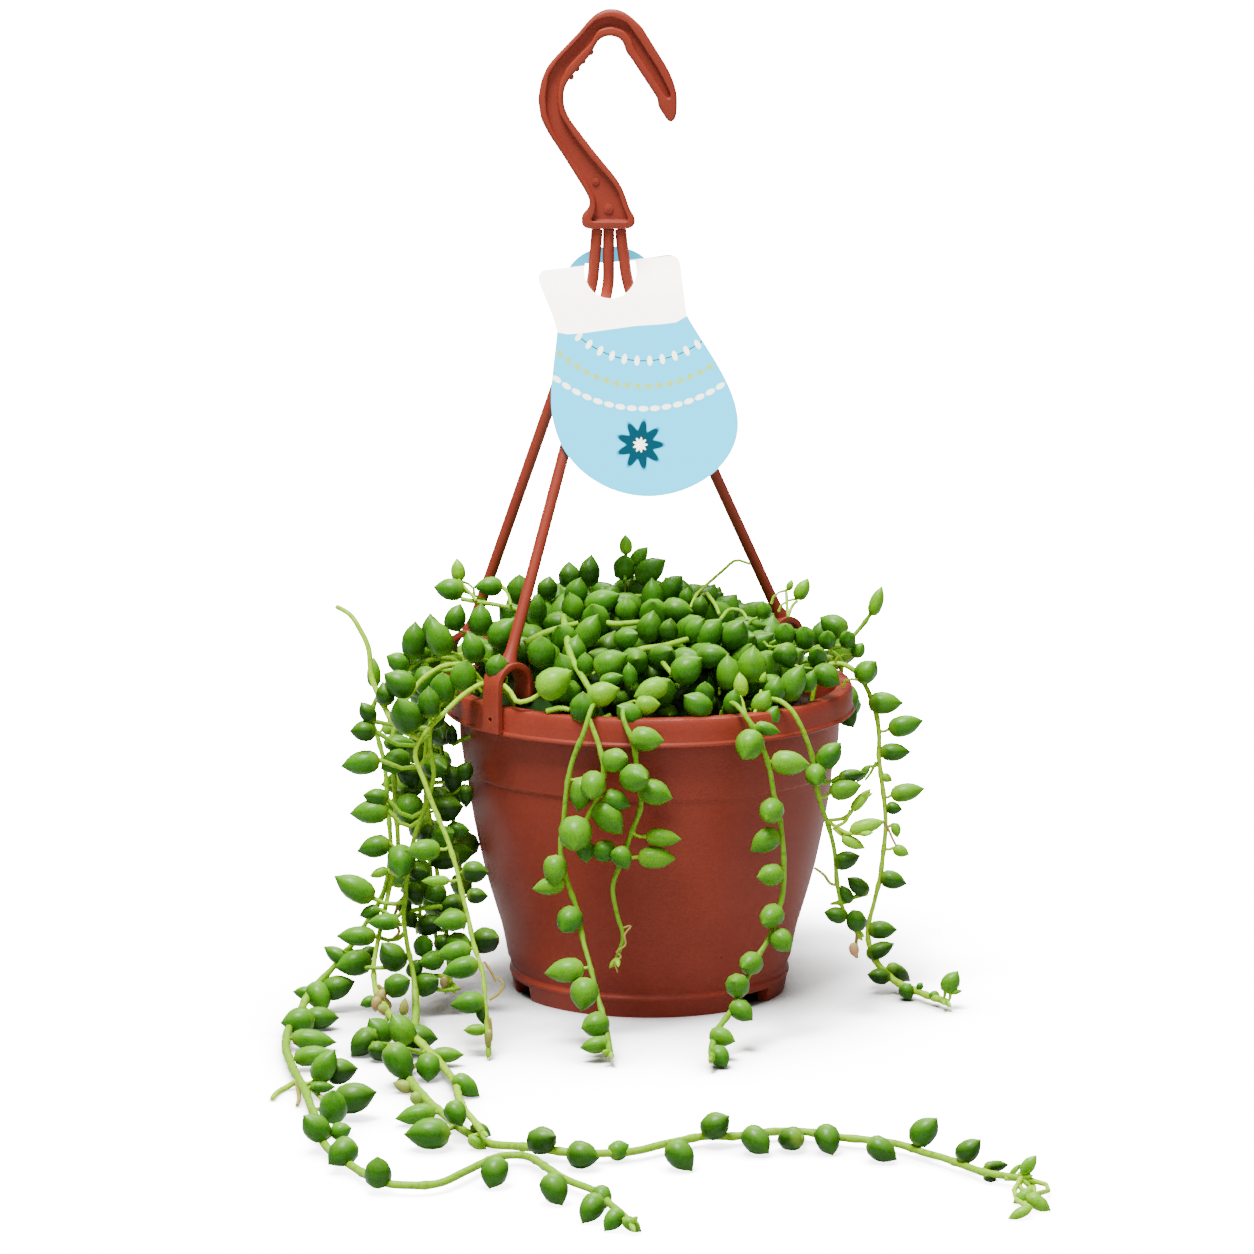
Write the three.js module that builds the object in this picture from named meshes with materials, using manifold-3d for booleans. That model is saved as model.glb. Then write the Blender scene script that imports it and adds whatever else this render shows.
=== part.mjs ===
// A string of pearls in its moulded plastic hanging pot, with the hanger hook, three clipped arms and a card tag.
// Millimetres, +Z up. The origin is the centre of the pot's foot, on the surface that it stands on, and the front
// of the plant faces -Y.
import * as THREE from "three";
import { mergeVertices } from "three/addons/utils/BufferGeometryUtils.js";
import Module from "manifold-3d";

const wasm = await Module();
wasm.setup();

const gap = 0.3; // air between pieces that touch

const pot = {
  rimTop: 97,
  rimRadius: 63.2, // outside of the rolled band
  bandHeight: 8.4,
  innerRadius: 57.9, // mouth of the pot
  skin: 1.5, // thickness of the rim band
  footRadius: 42.4,
  baseDepth: 3.4, // recess under the floor of the pot
  padRadius: 8, // flat centre pad that the foot shares its plane with
  floorTop: 5.4,
  notchAngles: [82, 202, 320], // degrees, one gap in the foot ring each
  notchDepth: 12,
  notchWidth: 12.5,
  notchHeight: 4.6,
  drainRadius: 2,
  drainCircle: 24,
  drainCount: 6,
  segments: 32,
};

const soil = { top: 87, segments: 20, holeRadius: 1.9, holeDepth: 6 };

const hook = {
  centreX: -12.7, // the flared foot hangs over the balance point of the three arms
  centreY: 4,
  foot: 237.4, // height of the foot's underside
  thickness: 6.4,
  web: 2.8, // what the two recesses leave between them
  rib: 2.1, // width of the raised edge
};

const arm = {
  radius: 1.65,
  sides: 8,
  bundleHeight: 219, // where the arms leave the tag's hole and spread
  clipCentre: 58.8, // distance from the pot's axis to the middle of a clip
  clipSpring: 103.5, // height at which the clip's arch starts
  clipOuter: 6.6, // outer radius of the arch
  clipInner: 4.8,
  clipWidth: 6.5,
  sunk: 0.9, // how deep a rod's end stands in its clip
  outerLegFoot: 87,
  innerLegFoot: 97.6,
  catchDepth: 1.7, // lip that snaps under the rim band
  catchHeight: 1.3,
};

const arms = [
  { name: "arm_back_left", angle: 164, topX: -16.2, bundleX: -18.1 },
  { name: "arm_front_left", angle: 224, topX: -12.6, bundleX: -13 },
  { name: "arm_back_right", angle: 44, topX: -9, bundleX: -6.2 },
];

const tag = {
  thickness: 0.6,
  crossing: 222.3, // height at which the card passes between the arms
  crossingY: 4.65,
  lean: 0.4, // how far the card leans forward for each mm that it hangs
  curl: 2.4, // extra swing where it slips between the arms
  curlLength: 3.5,
  bends: [235, 228, 225.5, 224, 222.3, 220.6, 219, 216.5, 212, 200, 150], // heights of its folds
  blankDepth: 100, // deeper and wider than the bent card, so that the two cut each other clean
  blankWidth: 90,
};

const stem = { radius: 1.2, sides: 3, step: 11 };

const pearl = {
  sides: 5,
  petiole: 1.6,
  slimness: 1.26, // length for each mm of width
  chartStep: 6,
  body: 0.47, // where a ball stands for the pearl's body and one for its tip, as shares of its length
  tip: 0.94,
  tipRadius: 0.7,
  squeeze: 0.8, // how near two pearls of one node may press together, as a share of their radii
};

const crown = {
  centre: [-4, 1],
  radius: [46, 45], // out to the stalk ends of the outer pearls
  base: soil.top + gap,
  height: 34,
  coreInset: 6, // how far the core lies inside, under the pearls
  coreSegments: 10,
  coreRows: [0, 0.5, 0.87, 1], // heights of the core's rings, as shares of its own
  plugRadius: 9,
  plugDepth: 5.5,
  pearls: 74,
  lowest: 0.17, // height of the lowest pearls, as a share of the mound's
  width: 9.2,
  sprigWidth: 8.1,
  scatter: 9, // how far a pearl may stray from the smooth mound
};

// The outside of the pot under its rim, from the foot ring up: radius and height.
const potOutline = [
  [42.4, 0], [43.4, 6.4], [43.2, 7.8], [45.3, 16], [48.4, 27.5], [52, 40.5], [54.7, 53.5], [56.6, 66],
  [57, 70.4], [57.7, 71.2], [58.9, 80], [59.3, 88],
];
const potLining = [[57.9, 88], [55.3, 66], [51.9, 46], [46.6, 26], [42, 8.5], [41.5, 5.4]];

// The outline of the hook in its own plane, across and up from the middle of its foot: up the outer side
// to the tip, then back along the throat and round the foot.
const hookOutline = [
  [-8.4, 2.5], [-8, 4.4], [-6.2, 5.9], [-5.6, 8.3], [-6.9, 11.4], [-14.2, 23.1], [-18.1, 28.9], [-20.6, 33.7],
  [-21.5, 39.7], [-20.5, 45.3], [-18.7, 49.3], [-16.2, 52.3], [-8.6, 60.2], [-6.2, 63.2], [-3.4, 65.7], [-0.4, 66.9],
  [2.7, 66.8], [5.4, 65.7], [7.8, 63.8], [10.3, 61.4], [18.2, 48.7], [20, 44.7], [21, 40.8], [21, 36.8],
  [20.6, 33.9], [19.4, 32.5], [18.2, 32.8], [14.9, 38], [15.2, 39.5], [6.6, 52.6], [5.4, 53.8], [4.8, 56.3],
  [3.6, 58.1], [1.1, 59], [-1.3, 58.7], [-3.1, 57.5], [-5.6, 52.9], [-11.1, 46.8], [-12.6, 44.7], [-13.5, 42.3],
  [-13.8, 39.2], [-13.2, 36.2], [-11.7, 33.1], [-5, 24.3], [2.3, 15.4], [4.2, 12.3], [5.4, 9.3], [6.6, 5.6],
  [8, 3.6], [8.4, 2], [7.6, 0.6], [5.7, 0], [-6.3, 0], [-7.9, 0.7],
];

// Each strand rises out of a hole in the soil, bends over the rim and hangs. Its chart has one letter for every 6 mm
// of stem, from the soil on: a pearl at the right (r), left (l), front (f) or back (b) of the stem, or none (.).
const strands = [
  {
    name: "strand_front_left", seed: 11, width: 7.8,
    routes: [
      {
        points: [
          [-15.8, -48.5, 81], [-15.8, -48.5, 88], [-16, -51, 98], [-17, -58, 100.5], [-18, -64, 100],
          [-20, -66.5, 94], [-23, -66, 86], [-25, -66, 76], [-26, -66, 67], [-27, -66, 58], [-25, -66, 49],
          [-22, -68, 40], [-20, -73, 31], [-17, -79, 21], [-15, -84, 14], [-13, -91, 8], [-12, -99, 4],
        ],
        chart: "....f..r.r..ll.l.l.llll",
      },
      {
        points: [[-18.5, -65, 98], [-15, -68, 89], [-14, -68, 81], [-16, -69, 74], [-19, -68, 67], [-20, -66.5, 60]],
        chart: "..flrfr",
      },
    ],
  },
  {
    name: "strand_front_middle", seed: 12, width: 7.8,
    routes: [{
      points: [
        [-6, -50.6, 81], [-6, -50.6, 88], [-7, -53, 98], [-8, -60, 100.5], [-8, -65, 97.5], [-5, -67, 90],
        [-3.5, -67, 80], [-3, -67, 72], [-5, -67, 65], [-8, -66, 56], [-11, -66, 47], [-10, -66, 38],
        [-8, -66, 31], [-10, -65, 24],
      ],
      chart: "....f.rlrrlrlr",
    }],
  },
  {
    name: "strand_front_right", seed: 13, width: 7.4,
    routes: [{
      points: [
        [21.5, -46, 81], [21.5, -46, 88], [22.5, -49, 98], [25, -55, 100.5], [28, -60, 98.5], [32, -61.5, 92],
        [35, -61, 84], [37, -61, 74], [39, -62, 66], [40, -63, 57], [40, -63, 48], [39, -64, 41],
        [36, -68, 32], [32, -72, 26], [28, -78, 19], [24, -84, 13], [20, -90, 9], [18, -98, 5], [18, -106, 4],
      ],
      chart: "......rlr.ll.l.lr.llr.rr",
    }],
  },
  {
    name: "strand_right_inner", seed: 14, width: 7.4,
    routes: [
      {
        points: [
          [31.5, -40, 81], [31.5, -40, 88], [33.5, -43, 98], [38, -49, 100.5], [43, -53, 97.5], [47, -53, 89],
          [49, -51, 82], [51, -50, 71], [54, -48, 61], [56, -46, 52], [57, -44, 42], [59, -42, 34], [63, -41, 27],
        ],
        chart: "........rfr.r..r.lr",
      },
      { points: [[53.5, -48.5, 63], [59, -49, 64], [62, -50, 68], [64, -50, 71]], chart: ".r.r", young: true },
      { points: [[53.5, -48.5, 63], [59, -51, 60], [64, -53, 60]], chart: ".l.r", young: true },
    ],
  },
  {
    name: "strand_right_outer", seed: 15, width: 7.2,
    routes: [{
      points: [
        [50, -6, 81], [50, -6, 88], [52, -5, 98], [56, -4, 103], [62, -4.5, 102], [67, -6, 96], [70, -8, 89],
        [71, -9, 82], [71, -9, 74], [72, -9, 66], [73, -9, 58], [73, -9, 48], [72, -9, 39], [70, -9, 29],
        [68, -9, 20], [69, -10, 13], [72, -11, 8], [77, -14, 4], [84, -23, 3], [91, -33, 3],
      ],
      chart: ".....r.rr.rrr..rrl.rrlrlrlr",
    }],
  },
  {
    name: "strand_right_runner", seed: 16, width: 7.4,
    routes: [{
      points: [
        [44, 6, 81], [44, 6, 88], [44.5, 5, 98], [47, 4, 104.5], [53, 3, 107], [60, 3, 107.5], [65, 4, 112],
        [69, 4, 118], [72, 5, 123],
      ],
      chart: "...lfrfbf.r",
    }],
  },
  {
    name: "strand_left_pale", seed: 17, width: 7.6,
    routes: [
      {
        points: [
          [-39.5, -32, 81], [-39.5, -32, 88], [-43, -35, 99], [-49, -40, 104], [-57, -47, 101], [-64, -53, 95],
          [-69, -57, 90], [-70.5, -58, 85], [-68, -60, 78], [-64, -63, 68], [-61, -66, 61], [-58, -70, 53],
          [-55, -75, 42], [-53, -79, 33], [-50, -84, 25], [-49, -88, 16], [-48.5, -89.5, 9], [-48, -92, 4],
        ],
        chart: "..............l.l.l.llrl",
      },
      {
        points: [
          [-69, -57, 90], [-76, -53, 93], [-81, -49, 100], [-84, -46, 106], [-85, -44, 115], [-88, -42, 121],
          [-91, -40, 125], [-95, -38, 127],
        ],
        chart: "..bf",
      },
    ],
  },
  {
    name: "strand_left_loop", seed: 18, width: 8,
    routes: [{
      points: [
        [-50.5, -9, 81], [-50.5, -9, 88], [-54, -10, 99], [-62, -11, 106], [-73, -13, 104], [-82, -14, 97],
        [-86, -14, 89], [-84, -14, 82], [-82, -16, 74], [-81, -18, 65], [-80, -22, 54], [-80, -26, 45],
        [-82, -30, 36], [-87, -33, 28], [-92, -33, 20], [-98, -33, 13], [-104, -36, 7], [-107, -50, 3],
        [-109, -72, 3], [-108, -92, 3], [-105, -112, 3], [-101, -131, 3], [-96, -161, 3], [-92, -190, 3],
        [-83, -214, 3], [-74, -231, 3], [-66, -235, 3], [-57, -232, 3], [-50, -220, 3], [-43, -207, 3],
        [-34, -207, 3], [-25, -227, 3], [-16, -239, 3], [-11, -253, 3], [-6, -270, 3],
      ],
      chart: ".....fblrfl.l.b.l.f.l.r.lr.rr.rl.rr.rf.rl.rrf..r.l.f......l...l....r..lrl",
    }],
  },
  {
    name: "strand_left_fork", seed: 19, width: 8,
    routes: [{
      points: [
        [-46.5, -21.5, 81], [-46.5, -21.5, 88], [-50, -23, 99], [-58, -26, 107], [-68, -29, 104], [-76, -31, 94],
        [-78.5, -32, 83], [-78, -32, 73], [-78, -33, 66], [-77, -35, 57], [-77, -37, 50], [-79, -40, 42],
        [-81, -44, 33], [-83, -48, 24], [-84, -51, 17], [-83, -55, 11], [-79, -63, 7], [-74, -80, 6.6],
        [-67, -95, 5], [-62, -107, 3], [-57, -128, 3], [-55, -150, 4], [-52, -174, 6.6], [-47, -193, 6],
      ],
      chart: ".....flrflfr.f.r..f....lfr.rl.lr.lr..r..l...r..f",
    }],
  },
  {
    name: "strand_left_floor", seed: 20, width: 8,
    routes: [{
      points: [
        [-43.5, -27, 81], [-43.5, -27, 88], [-47, -29, 98], [-54, -33, 103], [-61, -37, 100], [-66, -39, 93],
        [-67, -39, 84], [-66, -40, 75], [-68, -42, 67], [-72, -43, 56], [-74, -44, 44], [-75, -45, 33],
        [-74, -46, 24], [-72, -49, 14], [-71, -60, 4], [-72, -78, 1.6], [-72, -100, 1.8], [-70, -125, 3],
        [-64, -148, 3], [-55, -170, 1.6], [-46, -188, 1.6], [-34, -197, 3], [-20, -203, 3], [-6, -201, 3],
        [4, -194, 3], [14, -186, 3], [24, -185, 3], [34, -181, 3], [44, -182, 3], [55, -188, 3],
        [67, -193, 3], [76, -203, 3], [84, -213, 3], [91, -222, 3], [100, -227, 3],
      ],
      chart: ".....l..l.f.l..r.l..f.l..........l.ll.l.f....l..l.r..l...r.l.r.l.l..r..r.r.lrlr",
    }],
  },
  {
    name: "strand_left_inner_1", seed: 21, width: 7.8,
    routes: [{
      points: [
        [-51, -1, 81], [-51, -1, 88], [-55, -1, 99], [-62, -2, 100.5], [-69, -2, 97.5], [-71, -3, 85], [-70, -5, 70],
        [-69, -8, 55], [-68, -10, 40], [-67, -12, 26], [-66, -14, 13],
      ],
      chart: "....l.r.fl..r.l..rl",
    }],
  },
  {
    name: "strand_left_inner_2", seed: 22, width: 7.8,
    routes: [{
      points: [
        [-50, 6.5, 81], [-50, 6.5, 88], [-54, 7, 98], [-60, 8, 100.5], [-66, 8.5, 96.5], [-66.5, 8, 85],
        [-64, 5, 68], [-61, 1, 52], [-59, -2, 36], [-58, -4, 22],
      ],
      chart: ".....f..rf.l..rfl",
    }],
  },
  {
    name: "strand_left_inner_3", seed: 23, width: 7.8,
    routes: [{
      points: [
        [-45, 23, 81], [-45, 23, 88], [-49, 25, 98], [-56, 28.5, 100.5], [-63, 31, 97.5], [-67, 32, 86],
        [-69, 31, 72], [-70, 28, 56], [-71, 25, 42], [-72, 21, 28], [-73, 18, 15],
      ],
      chart: "....f.l.fr.l..rl.fr",
    }],
  },
  {
    name: "strand_left_inner_4", seed: 24, width: 7.8,
    routes: [{
      points: [
        [-48.5, -15.5, 81], [-48.5, -15.5, 88], [-52, -16.5, 97], [-58, -18.5, 100.5], [-64.5, -21, 96.5],
        [-67.5, -22.5, 87], [-69, -24, 76], [-68, -27, 62], [-66, -30, 48], [-64, -33, 34], [-62, -36, 21],
        [-61, -39, 10],
      ],
      chart: ".......f.r..lr.f..rf",
    }],
  },
  {
    name: "strand_back_1", seed: 31, width: 7.8,
    routes: [{
      points: [
        [45, 23, 81], [45, 23, 88], [49, 25.5, 98], [56, 29, 100.5], [61, 33, 96.5], [59, 40, 84], [51, 47, 67],
        [45, 50, 49], [42, 48, 33],
      ],
      chart: "....f.rl..f.r.fl",
    }],
  },
  {
    name: "strand_back_2", seed: 32, width: 7.8,
    routes: [{
      points: [
        [24, 45, 81], [24, 45, 88], [26, 49, 98], [29, 55.5, 100.5], [32, 61.5, 96.5], [33, 63.5, 84], [33, 63, 66],
        [32, 61, 48], [31, 59, 30], [31, 61, 15], [33, 69, 5], [36, 80, 3], [40, 92, 3],
      ],
      chart: "....f..r.fl.r..l.r.f.l.r",
    }],
  },
  {
    name: "strand_back_3", seed: 33, width: 7.8,
    routes: [{
      points: [
        [5, 50.7, 81], [5, 50.7, 88], [5.5, 54.5, 98], [6, 61, 100.5], [7, 67.5, 96.5], [8, 69.5, 83], [8, 68.5, 65],
        [7, 66, 47],
      ],
      chart: "....fr.lf.r.lf",
    }],
  },
  {
    name: "strand_back_4", seed: 34, width: 7.8,
    routes: [{
      points: [
        [-12.5, 49.5, 81], [-12.5, 49.5, 88], [-13, 53, 98], [-15, 60, 100.5], [-17, 66.5, 96.5], [-18, 68.5, 83],
        [-18, 67.5, 64], [-17, 65.5, 44], [-16, 64, 26], [-17, 66, 11], [-20, 76, 3], [-26, 88, 3], [-34, 97, 3],
      ],
      chart: "....l..r.fl.r.l..r.l.f.r",
    }],
  },
  {
    name: "strand_back_5", seed: 35, width: 7.8,
    routes: [{
      points: [
        [-30, 41, 81], [-30, 41, 88], [-32, 44.5, 98], [-36.5, 50.5, 100.5], [-41, 56.5, 96.5], [-43, 59, 84],
        [-43, 58, 66], [-42, 56.5, 50],
      ],
      chart: "....f.rl.f.lr",
    }],
  },
];

// Short shoots that start inside the core of the crown.
const sprigs = [
  { points: [[-28, 5, 112], [-38, 4, 119], [-48, 2, 122], [-56, 0, 123], [-62, -1, 126]], chart: "..bflfr" },
  { points: [[-6, 1, 114], [-7, 0, 124], [-7.5, -1, 133], [-7.5, -1, 138]], chart: "..lr", young: true },
  { points: [[12, -3, 108], [14, -4, 119], [18, -4, 127], [23, -4, 132], [29, -4, 135]], chart: "..r" },
  { points: [[22, 8, 100], [34, 13, 106], [41, 16, 112], [43, 16, 118]], chart: "..fl.r", young: true },
  { points: [[16, -20, 103], [25, -30, 107], [31, -39, 108], [31, -45, 111]], chart: "..flr.l", young: true },
];

const terracotta = new THREE.MeshStandardMaterial({ color: 0xa23c2a, roughness: 0.5, metalness: 0 });
const pottingMix = new THREE.MeshStandardMaterial({ color: 0x2a2019, roughness: 1, metalness: 0 });
const card = new THREE.MeshStandardMaterial({ color: 0xa9dcef, roughness: 0.55, metalness: 0 });
const leafGreen = new THREE.MeshStandardMaterial({ color: 0x4f9a2c, roughness: 0.42, metalness: 0 });

const radians = Math.PI / 180;

// Solids

function solidOf(geometry) {
  const plain = (geometry.index ? geometry.toNonIndexed() : geometry).clone();
  plain.deleteAttribute("normal");
  plain.deleteAttribute("uv");
  const merged = mergeVertices(plain, 1e-4);
  const corners = merged.index.array;
  const kept = [];
  for (let i = 0; i < corners.length; i += 3) {
    const [a, b, c] = [corners[i], corners[i + 1], corners[i + 2]];
    if (a !== b && b !== c && c !== a) kept.push(a, b, c);
  }
  return new wasm.Manifold(
    new wasm.Mesh({
      numProp: 3,
      vertProperties: new Float32Array(merged.attributes.position.array),
      triVerts: new Uint32Array(kept),
    }),
  );
}

function joined(solids) {
  return solids.reduce((sum, solid) => sum.add(solid));
}

// The largest body, with no loose scrap and no sealed hollow.
function wholeBody(solid) {
  const bodies = solid.decompose();
  return bodies.reduce((best, body) => (body.volume() > best.volume() ? body : best));
}

function meshOf(name, solid, material) {
  const { vertProperties, triVerts, numProp } = solid.getMesh();
  const positions = new Float32Array((vertProperties.length / numProp) * 3);
  for (let i = 0; i < positions.length / 3; i++) {
    positions.set(vertProperties.subarray(i * numProp, i * numProp + 3), i * 3);
  }
  const geometry = new THREE.BufferGeometry();
  geometry.setAttribute("position", new THREE.BufferAttribute(positions, 3));
  geometry.setIndex(new THREE.BufferAttribute(new Uint32Array(triVerts), 1));
  geometry.computeVertexNormals();
  const mesh = new THREE.Mesh(geometry, material);
  mesh.name = name;
  return mesh;
}

// A solid turned round Z from a profile of [radius, height] points that starts and ends on the axis.
function turned(profile, segments) {
  const geometry = new THREE.LatheGeometry(profile.map(([r, z]) => new THREE.Vector2(r, z)), segments);
  geometry.rotateX(Math.PI / 2);
  return solidOf(geometry);
}

// A shape in the X-Z plane, as thick as given along Y and centred there.
function plate(shape, thickness, curveSegments = 6) {
  const geometry = new THREE.ExtrudeGeometry(shape, { depth: thickness, bevelEnabled: false, curveSegments });
  geometry.translate(0, 0, -thickness / 2);
  geometry.rotateX(Math.PI / 2);
  return solidOf(geometry);
}

function polygon(radius, sides) {
  const shape = new THREE.Shape();
  for (let i = 0; i < sides; i++) {
    const turn = ((i + 0.5) / sides) * 2 * Math.PI;
    shape[i ? "lineTo" : "moveTo"](radius * Math.cos(turn), radius * Math.sin(turn));
  }
  return shape;
}

function rod(curve, radius, sides, steps) {
  const profile = polygon(radius, sides);
  return solidOf(new THREE.ExtrudeGeometry(profile, { extrudePath: curve, steps, bevelEnabled: false }));
}

function vertical(radius, sides, x, y, low, high) {
  const geometry = new THREE.CylinderGeometry(radius, radius, high - low, sides);
  geometry.rotateX(Math.PI / 2);
  geometry.translate(x, y, (low + high) / 2);
  return solidOf(geometry);
}

function curveThrough(points) {
  return new THREE.CatmullRomCurve3(points.map((p) => new THREE.Vector3(...p)), false, "catmullrom", 0.5);
}

// Pot and soil

function makePot() {
  const { rimTop, rimRadius, bandHeight, innerRadius, skin, footRadius, baseDepth, padRadius } = pot;
  const bandFoot = rimTop - bandHeight;
  let solid = turned(
    [
      [0, 0], [padRadius, 0], [padRadius + 0.6, baseDepth], [footRadius - 3.8, baseDepth], [footRadius - 3.2, 0],
      ...potOutline,
      [59.4, rimTop - skin - 0.4], [rimRadius - skin, rimTop - skin - 0.4], [rimRadius - skin, bandFoot],
      [rimRadius, bandFoot], [rimRadius - 0.1, rimTop - 1.5], [rimRadius - 1.2, rimTop], [innerRadius + 1, rimTop],
      [innerRadius + 0.3, rimTop - 0.8], ...potLining, [0, pot.floorTop],
    ],
    pot.segments,
  );
  for (const angle of pot.notchAngles) {
    const notch = new THREE.BoxGeometry(pot.notchDepth, pot.notchWidth, 2 * pot.notchHeight);
    notch.translate(footRadius, 0, 0);
    notch.rotateZ(angle * radians);
    solid = solid.subtract(solidOf(notch));
  }
  for (let i = 0; i < pot.drainCount; i++) {
    const angle = ((i + 0.5) / pot.drainCount) * 2 * Math.PI;
    const [x, y] = [pot.drainCircle * Math.cos(angle), pot.drainCircle * Math.sin(angle)];
    solid = solid.subtract(vertical(pot.drainRadius, 8, x, y, -1, pot.floorTop + 1));
  }
  return solid;
}

// The soil's facets are fewer than the pot's, so its corners keep clear of the middle of the pot's flats.
function makeSoil() {
  const inset = (radius) => radius * Math.cos(Math.PI / pot.segments) - gap;
  const wall = potLining.slice().reverse().map(([r, z]) => [inset(r), z]);
  wall[0][1] += gap;
  wall[wall.length - 1][1] = soil.top;
  let solid = turned([[0, pot.floorTop + gap], ...wall, [0, soil.top]], soil.segments);
  solid = solid.subtract(
    vertical(crown.plugRadius + 0.5, 12, ...crown.centre, soil.top - crown.plugDepth - gap, soil.top + 1),
  );
  for (const { routes } of strands) {
    const [x, y] = routes[0].points[0];
    solid = solid.subtract(vertical(soil.holeRadius, 5, x, y, soil.top - soil.holeDepth - 0.5, soil.top + 1));
  }
  return solid;
}

// Hanger

// A flat piece between two depths, from an outline in the X-Z plane.
function slab(outline, front, back) {
  return outline.extrude(back - front).rotate([90, 0, 0]).translate([0, back, 0]);
}

function makeHook() {
  const outline = new wasm.CrossSection([hookOutline], "NonZero");
  const panels = outline.offset(-hook.rib, "Miter", 2).decompose();
  const panel = panels.reduce((best, one) => (one.area() > best.area() ? one : best));
  const [face, floor] = [hook.thickness / 2, hook.web / 2];
  const recesses = [slab(panel, -face - 1, -floor), slab(panel, floor, face + 1)];
  const solid = recesses.reduce((body, recess) => body.subtract(recess), slab(outline, -face, face));
  return solid.translate([hook.centreX, hook.centreY, hook.foot]);
}

function armEnd(angle) {
  const { clipCentre, clipSpring, clipOuter } = arm;
  const turn = angle * radians;
  return [clipCentre * Math.cos(turn), clipCentre * Math.sin(turn), clipSpring + clipOuter - arm.sunk];
}

function makeClip(angle) {
  const { clipCentre, clipSpring, clipOuter, clipInner, outerLegFoot, innerLegFoot, catchDepth, catchHeight } = arm;
  const shape = new THREE.Shape();
  shape.moveTo(clipCentre + clipOuter, outerLegFoot);
  shape.lineTo(clipCentre + clipOuter, clipSpring);
  shape.absarc(clipCentre, clipSpring, clipOuter, 0, Math.PI, false);
  shape.lineTo(clipCentre - clipOuter, innerLegFoot);
  shape.lineTo(clipCentre - clipInner, innerLegFoot);
  shape.absarc(clipCentre, clipSpring, clipInner, Math.PI, 0, true);
  shape.lineTo(clipCentre + clipInner, outerLegFoot + catchHeight);
  shape.lineTo(clipCentre + clipInner - catchDepth, outerLegFoot + catchHeight);
  shape.lineTo(clipCentre + clipInner - catchDepth, outerLegFoot);
  return plate(shape, arm.clipWidth, 6).rotate([0, 0, angle]);
}

function makeArm({ angle, topX, bundleX }) {
  const y = hook.centreY;
  const end = armEnd(angle);
  const start = [bundleX, y, arm.bundleHeight];
  const near = start.map((v, i) => v + (end[i] - v) * 0.12);
  const curve = curveThrough([
    [topX, y, hook.foot - gap], [topX + (bundleX - topX) * 0.3, y, 230], start, near,
    start.map((v, i) => v + (end[i] - v) * 0.5), end,
  ]);
  return joined([rod(curve, arm.radius, arm.sides, 10), makeClip(angle)]);
}

// Tag

// Where the card is, from front to back, at a height.
function tagDepth(z) {
  const drop = z - tag.crossing;
  return tag.crossingY + tag.lean * drop + tag.curl * Math.tanh(drop / tag.curlLength);
}

function makeTag() {
  const outline = new THREE.Shape();
  outline.moveTo(-24.8, 225); // the hanging tab
  outline.bezierCurveTo(-20, 232.2, -7.5, 233, -1.5, 227.7);
  outline.lineTo(5, 228.6); // the right shoulder
  outline.quadraticCurveTo(9.5, 229.2, 9.6, 224.5);
  outline.lineTo(11.3, 211.4);
  outline.bezierCurveTo(17, 201.5, 26.9, 190.5, 26.9, 179.5); // the pear-shaped body
  outline.bezierCurveTo(26.9, 167.5, 13, 158.5, -0.6, 158.5);
  outline.bezierCurveTo(-14, 158.5, -30.2, 168, -30.2, 186.5);
  outline.bezierCurveTo(-30.2, 193, -29, 200, -28.4, 206.4);
  outline.bezierCurveTo(-29.5, 211.5, -32, 216, -34, 221); // the left shoulder
  outline.quadraticCurveTo(-35, 224.2, -31, 224.4);
  const hole = new THREE.Path();
  hole.moveTo(-20.4, 225.6);
  hole.lineTo(-20.4, 219.4);
  hole.quadraticCurveTo(-19.5, 216.3, -12.5, 216.2);
  hole.quadraticCurveTo(-5, 216.2, -3.9, 219.4);
  hole.lineTo(-3.9, 226.8);
  outline.holes.push(hole);
  const blank = plate(outline, tag.blankDepth, 5);
  const front = tag.bends.map((z) => new THREE.Vector2(tagDepth(z) - tag.thickness / 2, z));
  const back = tag.bends.map((z) => new THREE.Vector2(tagDepth(z) + tag.thickness / 2, z)).reverse();
  const side = new THREE.Shape([...front, ...back]);
  const sheet = new THREE.ExtrudeGeometry(side, { depth: tag.blankWidth, bevelEnabled: false });
  sheet.translate(0, 0, -tag.blankWidth / 2);
  sheet.applyMatrix4(new THREE.Matrix4().set(0, 0, 1, 0, 1, 0, 0, 0, 0, 1, 0, 0, 0, 0, 0, 1));
  return blank.intersect(solidOf(sheet));
}

// Plant

// A seeded random number from 0 to 1, in whole-number steps that any language can repeat.
function makeRandom(seed) {
  let state = seed * 7919;
  return () => {
    state = (Math.imul(state, 1103515245) + 12345) & 0x7fffffff;
    return (state >>> 8) / 0x800000;
  };
}

const outsideRadius = (z) => {
  for (let i = 1; i < potOutline.length; i++) {
    const [[r0, z0], [r1, z1]] = [potOutline[i - 1], potOutline[i]];
    if (z <= z1) return r0 + ((r1 - r0) * (z - z0)) / (z1 - z0);
  }
  return 59.4;
};

// How far a point is from the pot, the soil and the surface below.
function potDistance(p) {
  const radius = Math.hypot(p.x, p.y);
  const bandFoot = pot.rimTop - pot.bandHeight;
  const beside = Math.max(pot.innerRadius - radius, radius - pot.rimRadius, 0);
  const above = Math.max(bandFoot - p.z, p.z - pot.rimTop, 0);
  let nearest = Math.min(Math.hypot(beside, above), p.z);
  if (p.z < bandFoot) nearest = Math.min(nearest, radius - outsideRadius(p.z));
  else if (radius < pot.innerRadius) nearest = Math.min(nearest, p.z - soil.top);
  return nearest;
}

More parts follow.
